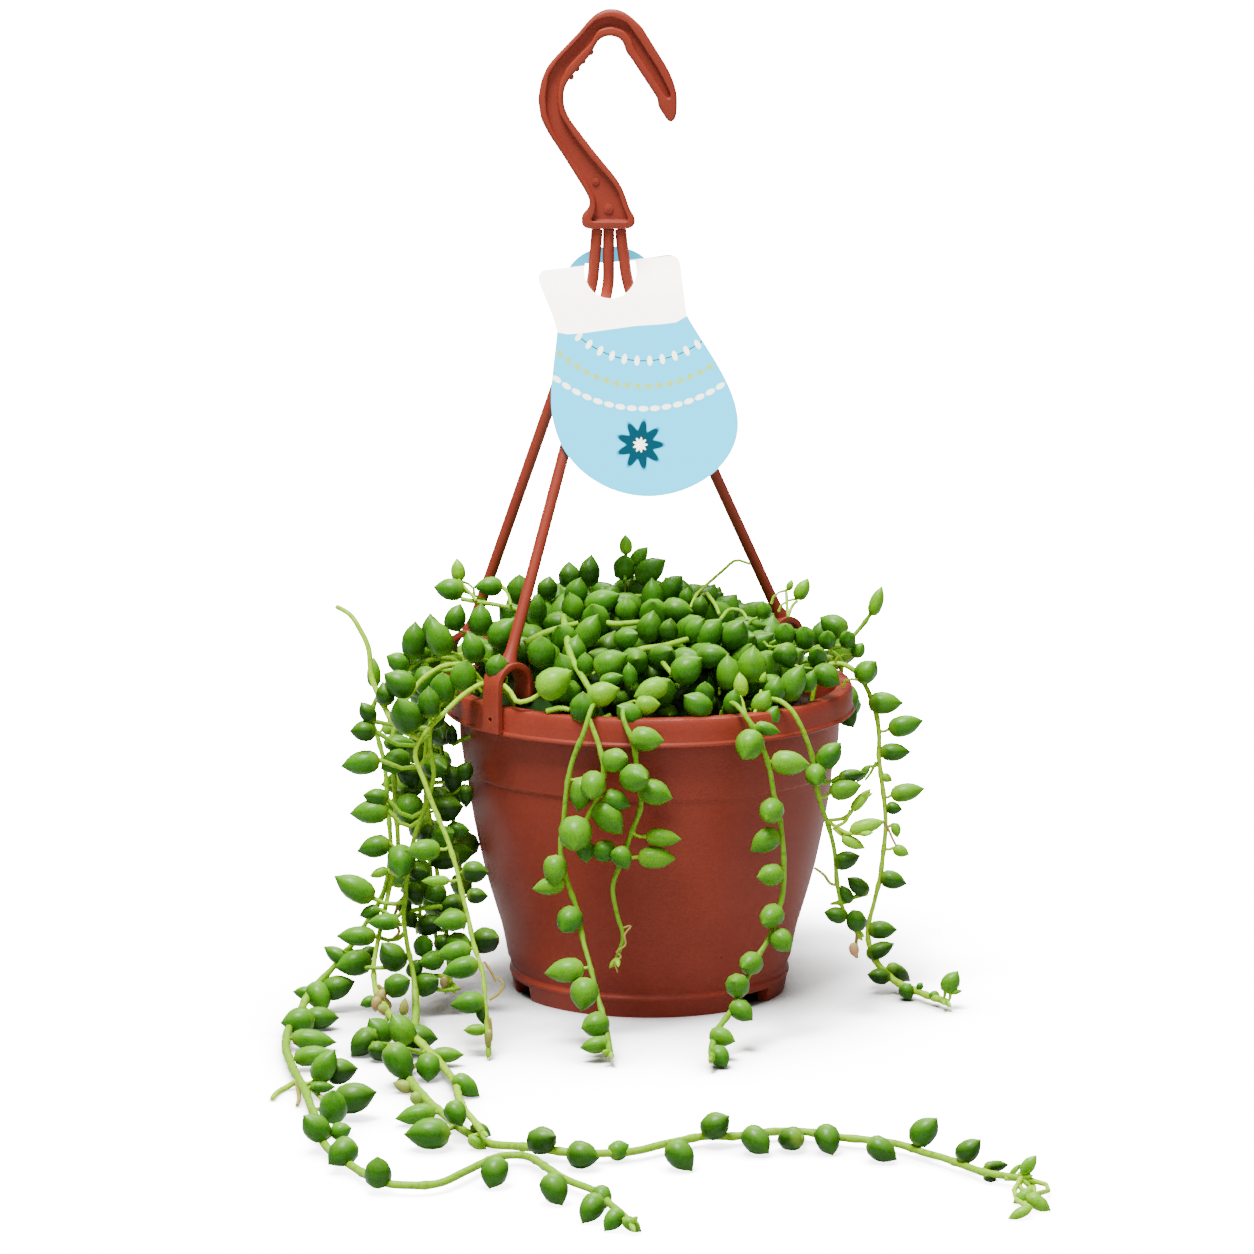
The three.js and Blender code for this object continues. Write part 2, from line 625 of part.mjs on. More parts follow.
// How far a point is from the nearest arm or clip.
function hangerDistance(p) {
  let nearest = Infinity;
  for (const { angle, bundleX } of arms) {
    const end = new THREE.Vector3(...armEnd(angle));
    const line = new THREE.Line3(end, new THREE.Vector3(bundleX, hook.centreY, arm.bundleHeight));
    nearest = Math.min(nearest, line.closestPointToPoint(p, true, new THREE.Vector3()).distanceTo(p) - arm.radius);
    const turn = angle * radians;
    const out = p.x * Math.cos(turn) + p.y * Math.sin(turn) - arm.clipCentre;
    const side = p.y * Math.cos(turn) - p.x * Math.sin(turn);
    const up = Math.max(arm.outerLegFoot - p.z, p.z - arm.clipSpring - arm.clipOuter, 0);
    const across = Math.max(Math.abs(side) - arm.clipWidth / 2, 0);
    nearest = Math.min(nearest, Math.hypot(Math.max(Math.abs(out) - arm.clipOuter, 0), across, up));
  }
  return nearest;
}

const placed = []; // the balls that stand for every pearl and stem so far: centre, radius, node

function hasRoom(balls, node) {
  return balls.every(([centre, radius]) => {
    if (Math.min(potDistance(centre), hangerDistance(centre)) < radius + gap) return false;
    return placed.every(([other, otherRadius, owner]) => {
      const needed = owner === node ? pearl.squeeze * (radius + otherRadius) : radius + otherRadius + gap;
      return owner === node && otherRadius === stem.radius ? true : centre.distanceTo(other) >= needed;
    });
  });
}

// The two balls that stand for a pearl when its neighbours look for room.
function ballsOf(foot, direction, width, length, petiole) {
  const along = (share) => foot.clone().addScaledVector(direction, petiole + share * length);
  return [[along(pearl.body), width / 2], [along(pearl.tip), pearl.tipRadius]];
}

// A pearl is a pointed drop of few sides, whose stalk starts inside the stem.
function makePearl(root, direction, width, length, petiole) {
  const ring = [[0, 0], [0.46, 0.25], [0.42, 0.68], [0, 1]];
  const profile = ring.map(([r, t], i) => new THREE.Vector2(r * width, i ? petiole + t * length : 0));
  const geometry = new THREE.LatheGeometry(profile, pearl.sides);
  geometry.applyQuaternion(new THREE.Quaternion().setFromUnitVectors(new THREE.Vector3(0, 1, 0), direction));
  geometry.translate(root.x, root.y, root.z);
  return solidOf(geometry);
}

const sideAngles = { r: 0, f: 90, l: 180, b: 270 };
const turns = [0, 12, -12, 24, -24, 38, -38, 54, -54, 72, -72, 95, -95, 120, -120, 150, -150, 180];

function pearlsAlong(route, width, random, node) {
  const curve = curveThrough(route.points);
  const length = curve.getLength();
  const solids = [];
  [...route.chart].forEach((letter, i) => {
    if (letter === ".") return;
    const share = Math.min((i * pearl.chartStep) / length, 1);
    const root = curve.getPointAt(share);
    const along = curve.getTangentAt(share);
    const outward = new THREE.Vector3(root.x, root.y, 0).normalize().multiplyScalar(Math.abs(along.z));
    outward.z += 1 - Math.abs(along.z);
    outward.addScaledVector(along, -outward.dot(along)).normalize();
    const right = new THREE.Vector3().crossVectors(outward, along);
    const tipTaper = 1 - 0.4 * Math.max(0, share - 0.85) / 0.15;
    const size = width * (route.young ? 0.72 : tipTaper) * (0.92 + 0.2 * random());
    const long = size * (route.young ? 1.9 : pearl.slimness + 0.16 * random());
    const petiole = pearl.petiole + 1.6 * random();
    const lean = 0.7 * random() - 0.2;
    const wobble = 30 * (random() - 0.5);
    for (const turn of turns) {
      const angle = (sideAngles[letter] + wobble + turn) * radians;
      const direction = right.clone().multiplyScalar(Math.cos(angle)).addScaledVector(outward, Math.sin(angle));
      direction.addScaledVector(along, lean).normalize();
      const balls = ballsOf(root, direction, size, long, petiole);
      if (!hasRoom(balls, node)) continue;
      balls.forEach((ball) => placed.push([...ball, node]));
      solids.push(makePearl(root, direction, size, long, petiole));
      break;
    }
  });
  return solids;
}

function makeStem(route) {
  const curve = curveThrough(route.points);
  return rod(curve, stem.radius, stem.sides, Math.ceil(curve.getLength() / stem.step));
}

function reserveStem(route, node) {
  const curve = curveThrough(route.points);
  const count = Math.ceil(curve.getLength() / 2);
  for (const point of curve.getSpacedPoints(count)) placed.push([point, stem.radius, node]);
}

function makeStrand({ name, seed, width, routes }) {
  const random = makeRandom(seed);
  const solids = routes.flatMap((route) => [makeStem(route), ...pearlsAlong(route, width, random, name)]);
  return wholeBody(joined(solids));
}

function makeCrown() {
  const { centre, radius, base, height, coreInset, coreRows, plugRadius, plugDepth, lowest } = crown;
  const random = makeRandom(5);
  const rings = coreRows.map((t) => new THREE.Vector2(Math.sqrt(1 - t * t), t));
  const dome = new THREE.LatheGeometry([new THREE.Vector2(0, 0), ...rings], crown.coreSegments);
  dome.rotateX(Math.PI / 2);
  dome.scale(radius[0] - coreInset, radius[1] - coreInset, height - coreInset);
  dome.translate(centre[0], centre[1], base);
  const solids = [solidOf(dome), vertical(plugRadius, 12, ...centre, base - plugDepth, base + 2)];
  for (const sprig of sprigs) {
    solids.push(makeStem(sprig), ...pearlsAlong(sprig, crown.sprigWidth, random, "crown"));
  }
  for (let i = 0; i < crown.pearls; i++) {
    const rise = lowest + (1 - lowest) * ((i + 0.5) / crown.pearls) ** 1.2;
    const turn = i * 137.508 * radians;
    const level = Math.sqrt(1 - rise * rise);
    const shell = (inset) => new THREE.Vector3(
      centre[0] + (radius[0] - inset) * level * Math.cos(turn),
      centre[1] + (radius[1] - inset) * level * Math.sin(turn),
      base + (height - inset) * rise,
    );
    const size = crown.width * (0.9 + 0.24 * random());
    const long = size * (pearl.slimness + 0.16 * random());
    const root = shell(coreInset + 2.5);
    const stray = new THREE.Vector3(random() - 0.5, random() - 0.5, 0.9 * random());
    const goal = shell(0).addScaledVector(stray, crown.scatter);
    const direction = goal.clone().sub(root).normalize();
    const balls = ballsOf(goal, direction, size, long, 0);
    if (!hasRoom(balls, "crown")) continue;
    balls.forEach((ball) => placed.push([...ball, "crown"]));
    solids.push(makePearl(root, direction, size, long, goal.distanceTo(root)));
  }
  return wholeBody(joined(solids));
}

for (const { name, routes } of strands) routes.forEach((route) => reserveStem(route, name));
for (const sprig of sprigs) reserveStem(sprig, "crown");

const group = new THREE.Group();
group.add(
  meshOf("pot", makePot(), terracotta),
  meshOf("soil", makeSoil(), pottingMix),
  meshOf("hook", makeHook(), terracotta),
  ...arms.map((one) => meshOf(one.name, makeArm(one), terracotta)),
  meshOf("tag", makeTag(), card),
  ...strands.map((strand) => meshOf(strand.name, makeStrand(strand), leafGreen)),
  meshOf("crown", makeCrown(), leafGreen),
);

export default group;
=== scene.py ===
import math
import bpy
import bmesh
import numpy as np
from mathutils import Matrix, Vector, noise
from mathutils.geometry import tessellate_polygon


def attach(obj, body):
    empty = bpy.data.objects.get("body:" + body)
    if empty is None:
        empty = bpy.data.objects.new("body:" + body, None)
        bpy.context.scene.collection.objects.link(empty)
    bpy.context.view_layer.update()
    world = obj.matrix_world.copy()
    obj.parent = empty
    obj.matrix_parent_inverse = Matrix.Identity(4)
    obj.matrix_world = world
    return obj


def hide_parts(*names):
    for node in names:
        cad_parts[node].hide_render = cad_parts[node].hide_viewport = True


# A string of pearls in its hanging pot. Sizes are in millimetres, and a mesh is made in metres.
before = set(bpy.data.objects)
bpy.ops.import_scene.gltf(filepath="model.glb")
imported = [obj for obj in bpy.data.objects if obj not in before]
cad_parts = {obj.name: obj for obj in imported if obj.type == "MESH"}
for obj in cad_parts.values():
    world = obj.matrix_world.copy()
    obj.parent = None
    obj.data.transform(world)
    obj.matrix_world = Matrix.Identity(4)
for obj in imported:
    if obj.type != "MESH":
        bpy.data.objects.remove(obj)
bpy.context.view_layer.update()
mm = 0.001
fullTurn = 6.28
noise.seed_set(3)  # the noise vectors, by which the stems sway, would otherwise start from the clock


# Small helpers

def toLinear(hexColour):
    # sRGB hex to the linear colour that a shader takes
    channels = [int(hexColour[i:i + 2], 16) / 255 for i in (1, 3, 5)]
    return [c / 12.92 if c <= 0.04045 else ((c + 0.055) / 1.055) ** 2.4 for c in channels] + [1]


def addNode(tree, kind, settings=None, inputs=None, stops=()):
    # one node with its settings, its values, its links and the colours along its ramp
    node = tree.nodes.new(kind)
    for name, value in (settings or {}).items():
        setattr(node, name, value)
    for name, value in (inputs or {}).items():
        if isinstance(value, bpy.types.NodeSocket):
            tree.links.new(value, node.inputs[name])
        else:
            node.inputs[name].default_value = value
    if stops:
        elements = node.color_ramp.elements
        elements[0].position, elements[-1].position = stops[0][0], stops[-1][0]
        for place, _ in stops[1:-1]:
            elements.new(place)
        for element, (_, colour) in zip(elements, stops):
            element.color = toLinear(colour)
    return node


def newMaterial(name, finish):
    material = bpy.data.materials.new(name)
    material.use_nodes = True
    shader = material.node_tree.nodes["Principled BSDF"]
    for name, value in finish.items():
        shader.inputs[name].default_value = value
    return material, material.node_tree, shader


def meshPiece(name, vertices, faces):
    mesh = bpy.data.meshes.new(name)
    mesh.from_pydata([[c * mm for c in v] for v in vertices], [], faces)
    piece = bpy.data.objects.new(name, mesh)
    bpy.context.scene.collection.objects.link(piece)
    return piece


def bake(piece):
    # the modifiers' result becomes the piece's own plain mesh
    bpy.context.view_layer.update()
    graph = bpy.context.evaluated_depsgraph_get()
    made = bpy.data.meshes.new_from_object(
        piece.evaluated_get(graph), preserve_all_data_layers=True, depsgraph=graph)
    piece.modifiers.clear()
    piece.data = made
    return piece


def softenEdges(piece, width, angle=28, segments=3):
    bevel = piece.modifiers.new("softEdges", "BEVEL")
    bevel.width = width * mm
    bevel.segments = segments
    bevel.limit_method = "ANGLE"
    bevel.angle_limit = math.radians(angle)
    bevel.harden_normals = False
    return bake(piece)


def smooth(piece, angle=32):
    piece.data.shade_smooth()
    piece.data.set_sharp_from_angle(angle=math.radians(angle))
    return piece


def cutOut(piece, cutter):
    cut = piece.modifiers.new("cutOut", "BOOLEAN")
    cut.operation = "DIFFERENCE"
    cut.solver = "EXACT"
    cut.object = cutter
    bake(piece)
    bpy.data.objects.remove(cutter)
    return piece


def joinInto(piece, others):
    with bpy.context.temp_override(active_object=piece, selected_editable_objects=[piece, *others]):
        bpy.ops.object.join()
    return piece


def turned(name, profile, segments):
    # a closed solid turned round Z from [radius, height] points that start and end on the axis
    vertices, faces, rings = [], [], []
    for radius, z in profile:
        if radius == 0:
            rings.append([len(vertices)] * segments)
            vertices.append((0, 0, z))
        else:
            rings.append([len(vertices) + i for i in range(segments)])
            for i in range(segments):
                turn = 2 * math.pi * i / segments
                vertices.append((radius * math.cos(turn), radius * math.sin(turn), z))
    for low, high in zip(rings, rings[1:]):
        for i in range(segments):
            j = (i + 1) % segments
            corners = [low[i], low[j], high[j], high[i]]
            faces.append(list(dict.fromkeys(corners)))
    return meshPiece(name, vertices, [f for f in faces if len(f) > 2])


def plate(name, outline, thickness, y):
    # an outline in the X-Z plane, walked anticlockwise as seen from the front, made solid along Y
    count = len(outline)
    vertices = [(x, y + side * thickness / 2, z) for side in (-1, 1) for x, z in outline]
    faces = [list(range(count)), list(reversed(range(count, 2 * count)))]
    faces += [[(i + 1) % count, i, count + i, count + (i + 1) % count] for i in range(count)]
    return meshPiece(name, vertices, faces)


def tube(name, path, radii, sides=20):
    # a closed round rod along a path of points
    path = np.array(path, float)
    along = np.gradient(path, axis=0)
    along /= np.linalg.norm(along, axis=1)[:, None]
    across = np.cross(along[0], (0, 1, 0.2))
    vertices, faces = [], []
    for point, direction, radius in zip(path, along, radii):
        across = across - direction * across.dot(direction)
        across /= np.linalg.norm(across)
        up = np.cross(direction, across)
        for i in range(sides):
            turn = 2 * math.pi * i / sides
            vertices.append(point + radius * (math.cos(turn) * across + math.sin(turn) * up))
    for ring in range(len(path) - 1):
        for i in range(sides):
            j = (i + 1) % sides
            faces.append([ring * sides + i, ring * sides + j, (ring + 1) * sides + j, (ring + 1) * sides + i])
    faces.append(list(reversed(range(sides))))
    faces.append([(len(path) - 1) * sides + i for i in range(sides)])
    return meshPiece(name, vertices, faces)


def smoothPath(points, perSpan=20):
    # the curve through given points that the solids follow too
    points = np.array(points, float)
    ends = np.vstack([2 * points[0] - points[1], points, 2 * points[-1] - points[-2]])
    t = np.linspace(0, 1, perSpan, endpoint=False)[:, None]
    spans = []
    for a, b, c, d in zip(ends, ends[1:], ends[2:], ends[3:]):
        m0, m1 = (c - a) / 2, (d - b) / 2
        spans.append((2 * t**3 - 3 * t**2 + 1) * b + (t**3 - 2 * t**2 + t) * m0
                     + (-2 * t**3 + 3 * t**2) * c + (t**3 - t**2) * m1)
    return np.vstack([*spans, points[-1:]])


def lengthsAlong(path):
    return np.concatenate([[0], np.cumsum(np.linalg.norm(np.diff(path, axis=0), axis=1))])


def pointAt(path, lengths, distance):
    return np.array([np.interp(distance, lengths, path[:, i]) for i in range(3)])


def unit(vector):
    return np.array(vector, float) / max(np.linalg.norm(vector), 1e-9)


def seededDraws(seed):
    # the same draws from 0 to 1 as the solids use
    state = seed * 7919
    while True:
        state = (state * 1103515245 + 12345) & 0x7FFFFFFF
        yield (state >> 8) / 0x800000


# Camera, light and floor

viewpoint = {"eye": (-7, -1600, 401.5), "target": (-7, 0, 113.9), "lens": 150.5}
studio = {
    "floorSize": 30000, "keyPower": 176, "keyPlace": (-420, -760, 2300), "keySize": 950,
    "fillPower": 11, "fillPlace": (500, -1700, 1100), "fillSize": 1400,
    "backPower": 55, "backPlace": (150, 1000, 2100), "backSize": 1200,
    "sky": "#FFFFFF", "skyStrength": 0.13,
    # the eye's paper: its gain, the reach and depth of its painted contact shade, and its painted light from
    # near to far
    "aim": (0, 0, 110), "paper": "#B2B2B0", "paperGain": 4.6, "shadeReach": 0.06, "shadeDepth": 2.1,
    "paperGlow": 0, "farGlow": 16, "glowFrom": 0.1, "glowTo": 0.4,
}


def aim(thing, place, target):
    thing.location = Vector(place) * mm
    thing.rotation_euler = (Vector(target) - Vector(place)).to_track_quat("-Z", "Y").to_euler()


def makeCamera():
    camera = bpy.data.objects.new("camera", bpy.data.cameras.new("camera"))
    camera.data.lens = viewpoint["lens"]
    camera.data.sensor_width = 36
    camera.data.clip_start, camera.data.clip_end = 0.01, 100
    aim(camera, viewpoint["eye"], viewpoint["target"])
    bpy.context.scene.collection.objects.link(camera)
    bpy.context.scene.camera = camera


def makeStudio():
    for name in ("key", "fill", "back"):
        light = bpy.data.lights.new(name + "Light", "AREA")
        light.energy = studio[name + "Power"]
        light.size = studio[name + "Size"] * mm
        lamp = bpy.data.objects.new(name + "Light", light)
        aim(lamp, studio[name + "Place"], studio["aim"])
        bpy.context.scene.collection.objects.link(lamp)
    world = bpy.data.worlds.new("studioSky")
    world.use_nodes = True
    background = world.node_tree.nodes["Background"]
    background.inputs["Color"].default_value = toLinear(studio["sky"])
    background.inputs["Strength"].default_value = studio["skyStrength"]
    bpy.context.scene.world = world
    half = studio["floorSize"] / 2
    corners = [(-half, -half, 0), (half, -half, 0), (half, half, 0), (-half, half, 0)]
    floor = meshPiece("floor", corners, [[0, 1, 2, 3]])
    # overexposed studio paper: the eye sees it burnt out to white by painted light that grows away from the
    # pot, but for the soft contact shadows, partly cast by the lamps and partly painted shade from ambient
    # occlusion; and the plant gets back the light of plain grey paper
    paper, tree, shader = newMaterial("studioPaper", {
        "Base Color": toLinear(studio["paper"]), "Roughness": 0.9, "Specular IOR Level": 0.1})
    output = tree.nodes["Material Output"]
    place = addNode(tree, "ShaderNodeTexCoord").outputs["Object"]
    away = addNode(tree, "ShaderNodeVectorMath", {"operation": "LENGTH"}, {"Vector": place})
    # painted light: the paper gives off light, from none near the pot to full far off
    paintedGlow = addNode(tree, "ShaderNodeMapRange", {"interpolation_type": "SMOOTHSTEP"}, {
        "Value": away.outputs["Value"], "From Min": studio["glowFrom"], "From Max": studio["glowTo"],
        "To Min": studio["paperGlow"], "To Max": studio["farGlow"]})
    # painted shade: the paper is darkened by ambient occlusion near the pot and the plant
    near = addNode(tree, "ShaderNodeAmbientOcclusion", {"samples": 16}, {"Distance": studio["shadeReach"]})
    shade = addNode(tree, "ShaderNodeMath", {"operation": "POWER"},
                    {0: near.outputs["AO"], 1: studio["shadeDepth"]})
    light = addNode(tree, "ShaderNodeMath", {"operation": "MULTIPLY"},
                    {0: shade.outputs[0], 1: studio["paperGain"]})
    white = addNode(tree, "ShaderNodeBsdfDiffuse", inputs={"Color": light.outputs[0]})
    paintedPaperLight = addNode(tree, "ShaderNodeEmission", inputs={"Strength": paintedGlow.outputs["Result"]})
    burnt = addNode(tree, "ShaderNodeAddShader", inputs={0: white.outputs[0], 1: paintedPaperLight.outputs[0]})
    seen = addNode(tree, "ShaderNodeLightPath").outputs["Is Camera Ray"]
    either = addNode(tree, "ShaderNodeMixShader", inputs={0: seen, 1: shader.outputs[0], 2: burnt.outputs[0]})
    tree.links.new(either.outputs[0], output.inputs["Surface"])
    floor.data.materials.append(paper)


makeCamera()
makeStudio()
print("camera, light and floor are set")


# Materials

def makeTerracottaPlastic():
    # moulded polypropylene, dyed brick red: a satin skin with faint flow marks, a fine grain from the mould,
    # and a little light that goes in and comes out again at thin edges
    material, tree, shader = newMaterial("mouldedPolypropylene", {
        "IOR": 1.46, "Roughness": 0.42, "Subsurface Weight": 0.06, "Subsurface Scale": 0.002,
        "Subsurface Radius": (1.0, 0.35, 0.2), "Specular IOR Level": 0.22,
    })
    place = addNode(tree, "ShaderNodeTexCoord").outputs["Object"]
    clouds = addNode(tree, "ShaderNodeTexNoise", inputs={
        "Vector": place, "Scale": 26, "Detail": 4, "Roughness": 0.55})  # flow marks about 40 mm apart
    body = addNode(tree, "ShaderNodeValToRGB", inputs={"Fac": clouds.outputs["Fac"]}, stops=[
        (0.3, "#7A2B1D"), (0.7, "#883422")]).outputs["Color"]
    speck = addNode(tree, "ShaderNodeTexNoise", inputs={
        "Vector": place, "Scale": 1400, "Detail": 2})  # pigment grains, drawn at 0.7 mm so that they show
    grains = addNode(tree, "ShaderNodeValToRGB", inputs={"Fac": speck.outputs["Fac"]}, stops=[
        (0.35, "#E6DAD6"), (0.62, "#FFFFFF")]).outputs["Color"]
    mixed = addNode(tree, "ShaderNodeMix", {"data_type": "RGBA", "blend_type": "MULTIPLY"},
                    {0: 0.3, 6: body, 7: grains})
    tree.links.new(mixed.outputs[2], shader.inputs["Base Color"])
    sheen = addNode(tree, "ShaderNodeMapRange", inputs={
        "Value": clouds.outputs["Fac"], "To Min": 0.44, "To Max": 0.54})
    tree.links.new(sheen.outputs["Result"], shader.inputs["Roughness"])
    bump = addNode(tree, "ShaderNodeBump", inputs={
        "Height": speck.outputs["Fac"], "Strength": 0.12, "Distance": 0.0002})
    tree.links.new(bump.outputs["Normal"], shader.inputs["Normal"])
    return material


def makePottingMix():
    # moist peat with bark crumbs: matt, nearly black in the gaps, with browner fibres
    material, tree, shader = newMaterial("peatAndBark", {"Roughness": 0.95, "Specular IOR Level": 0.2})
    place = addNode(tree, "ShaderNodeTexCoord").outputs["Object"]
    crumbs = addNode(tree, "ShaderNodeTexVoronoi", inputs={"Vector": place, "Scale": 420})  # crumbs of 2.4 mm
    colour = addNode(tree, "ShaderNodeValToRGB", inputs={"Fac": crumbs.outputs["Color"]}, stops=[
        (0.1, "#1A120C"), (0.75, "#3B2A1C"), (0.95, "#5E4630")]).outputs["Color"]
    tree.links.new(colour, shader.inputs["Base Color"])
    fibres = addNode(tree, "ShaderNodeTexNoise", inputs={
        "Vector": place, "Scale": 900, "Detail": 6})  # fibres about 1 mm apart
    bump = addNode(tree, "ShaderNodeBump", inputs={
        "Height": fibres.outputs["Fac"], "Strength": 0.8, "Distance": 0.0012})
    tree.links.new(bump.outputs["Normal"], shader.inputs["Normal"])
    return material


def makePearlSkin():
    # a succulent leaf: a waxy skin over clear wet tissue. It shines softly, glows a little yellow where light
    # passes through, is paler at the stalk, and has a darker window stripe and a brown dry point
    material, tree, shader = newMaterial("succulentLeafSkin", {
        "IOR": 1.4, "Roughness": 0.33, "Subsurface Weight": 0.16, "Subsurface Scale": 0.003,
        "Subsurface Radius": (0.45, 1.0, 0.12), "Coat Weight": 0.04, "Coat Roughness": 0.25,
        "Specular IOR Level": 0.22,
    })
    place = addNode(tree, "ShaderNodeTexCoord").outputs["Object"]
    tint, rise, window, dry = (addNode(tree, "ShaderNodeAttribute", {"attribute_name": name}).outputs["Fac"]
                               for name in ("tint", "rise", "window", "dry"))
    body = addNode(tree, "ShaderNodeValToRGB", inputs={"Fac": tint}, stops=[
        (0, "#163404"), (0.35, "#38740E"), (0.7, "#70AA14"), (1, "#9ECE16")]).outputs["Color"]
    clouds = addNode(tree, "ShaderNodeTexNoise", inputs={
        "Vector": place, "Scale": 240, "Detail": 3})  # paler patches of about 4 mm
    patches = addNode(tree, "ShaderNodeValToRGB", inputs={"Fac": clouds.outputs["Fac"]}, stops=[
        (0.35, "#D0DCC0"), (0.65, "#FFFFFF")]).outputs["Color"]
    specks = addNode(tree, "ShaderNodeTexNoise", inputs={
        "Vector": place, "Scale": 2600, "Detail": 1})  # clear dots of about 0.4 mm
    grain = addNode(tree, "ShaderNodeValToRGB", inputs={"Fac": specks.outputs["Fac"]}, stops=[
        (0.38, "#C4D0B4"), (0.58, "#FFFFFF")]).outputs["Color"]
    clouded = addNode(tree, "ShaderNodeMix", {"data_type": "RGBA", "blend_type": "MULTIPLY"},
                      {0: 0.6, 6: body, 7: patches})
    mottled = addNode(tree, "ShaderNodeMix", {"data_type": "RGBA", "blend_type": "MULTIPLY"},
                      {0: 0.7, 6: clouded.outputs[2], 7: grain})
    striped = addNode(tree, "ShaderNodeMix", {"data_type": "RGBA", "blend_type": "MULTIPLY"},
                      {0: window, 6: mottled.outputs[2], 7: toLinear("#A8C49A")})
    fresh = addNode(tree, "ShaderNodeMapRange", inputs={
        "Value": rise, "From Min": 0.02, "From Max": 0.22, "To Min": 0.4, "To Max": 0})
    stalked = addNode(tree, "ShaderNodeMix", {"data_type": "RGBA"},
                      {0: fresh.outputs["Result"], 6: striped.outputs[2], 7: toLinear("#8DB52C")})
    point = addNode(tree, "ShaderNodeMapRange", inputs={
        "Value": rise, "From Min": 0.9, "From Max": 0.98, "To Min": 0, "To Max": 0.6})
    tipped = addNode(tree, "ShaderNodeMix", {"data_type": "RGBA"},
                     {0: point.outputs["Result"], 6: stalked.outputs[2], 7: toLinear("#4A4A14")})
    withered = addNode(tree, "ShaderNodeMix", {"data_type": "RGBA"},
                       {0: dry, 6: tipped.outputs[2], 7: toLinear("#B4875F")})
    # painted light: faces that point up are mixed towards a brighter green, as if lit from above, with the
    # pale wax that this side carries
    facing = addNode(tree, "ShaderNodeSeparateXYZ", inputs={
        "Vector": addNode(tree, "ShaderNodeNewGeometry").outputs["Normal"]})
    bloomAndTopLight = addNode(tree, "ShaderNodeMapRange", inputs={
        "Value": facing.outputs["Z"], "From Min": 0.2, "From Max": 1, "To Min": 0, "To Max": 0.36})
    withBloomAndTopLight = addNode(tree, "ShaderNodeMix", {"data_type": "RGBA"},
                      {0: bloomAndTopLight.outputs["Result"], 6: withered.outputs[2], 7: toLinear("#8CD03C")})
    tree.links.new(withBloomAndTopLight.outputs[2], shader.inputs["Base Color"])
    bump = addNode(tree, "ShaderNodeBump", inputs={
        "Height": clouds.outputs["Fac"], "Strength": 0.08, "Distance": 0.0006})
    tree.links.new(bump.outputs["Normal"], shader.inputs["Normal"])
    return material


def makeStemSkin():
    # a young green stem: thin waxy bark, yellow green in the light, browner and rough where it has withered
    material, tree, shader = newMaterial("greenStemBark", {
        "IOR": 1.4, "Roughness": 0.5, "Subsurface Weight": 0.12, "Subsurface Scale": 0.0012,
        "Subsurface Radius": (0.5, 1.0, 0.15), "Specular IOR Level": 0.3,
    })
    place = addNode(tree, "ShaderNodeTexCoord").outputs["Object"]
    tint = addNode(tree, "ShaderNodeAttribute", {"attribute_name": "tint"}).outputs["Fac"]
    dry = addNode(tree, "ShaderNodeAttribute", {"attribute_name": "dry"}).outputs["Fac"]
    body = addNode(tree, "ShaderNodeValToRGB", inputs={"Fac": tint}, stops=[
        (0, "#3C6C06"), (0.5, "#70A40A"), (1, "#A6D01A")]).outputs["Color"]
    streaks = addNode(tree, "ShaderNodeTexNoise", inputs={
        "Vector": place, "Scale": 700, "Detail": 4})  # corky marks of about 1.4 mm
    marks = addNode(tree, "ShaderNodeValToRGB", inputs={"Fac": streaks.outputs["Fac"]}, stops=[
        (0.3, "#C4B884"), (0.5, "#FFFFFF")]).outputs["Color"]
    mottled = addNode(tree, "ShaderNodeMix", {"data_type": "RGBA", "blend_type": "MULTIPLY"},
                      {0: 0.7, 6: body, 7: marks})
    withered = addNode(tree, "ShaderNodeMix", {"data_type": "RGBA"},
                       {0: dry, 6: mottled.outputs[2], 7: toLinear("#A07C4A")})
    tree.links.new(withered.outputs[2], shader.inputs["Base Color"])
    bump = addNode(tree, "ShaderNodeBump", inputs={
        "Height": streaks.outputs["Fac"], "Strength": 0.35, "Distance": 0.0004})
    tree.links.new(bump.outputs["Normal"], shader.inputs["Normal"])
    return material


def makeShadedGreen():
    # painted shade: a near-black green dome that stands for the shaded heart of the plant, seen only as gaps
    # between the leaves
    material, tree, shader = newMaterial("shadedStemsAndSoil", {"Roughness": 0.9, "Specular IOR Level": 0.1})
    place = addNode(tree, "ShaderNodeTexCoord").outputs["Object"]
    clouds = addNode(tree, "ShaderNodeTexNoise", inputs={"Vector": place, "Scale": 180, "Detail": 3})
    colour = addNode(tree, "ShaderNodeValToRGB", inputs={"Fac": clouds.outputs["Fac"]}, stops=[
        (0.4, "#0E1A08"), (0.62, "#1E3A12")]).outputs["Color"]
    tree.links.new(colour, shader.inputs["Base Color"])
    return material


plastic = makeTerracottaPlastic()
peat = makePottingMix()
leafSkin = makePearlSkin()
stemBark = makeStemSkin()
shadedGreen = makeShadedGreen()
print("materials are made")


# Pot and soil

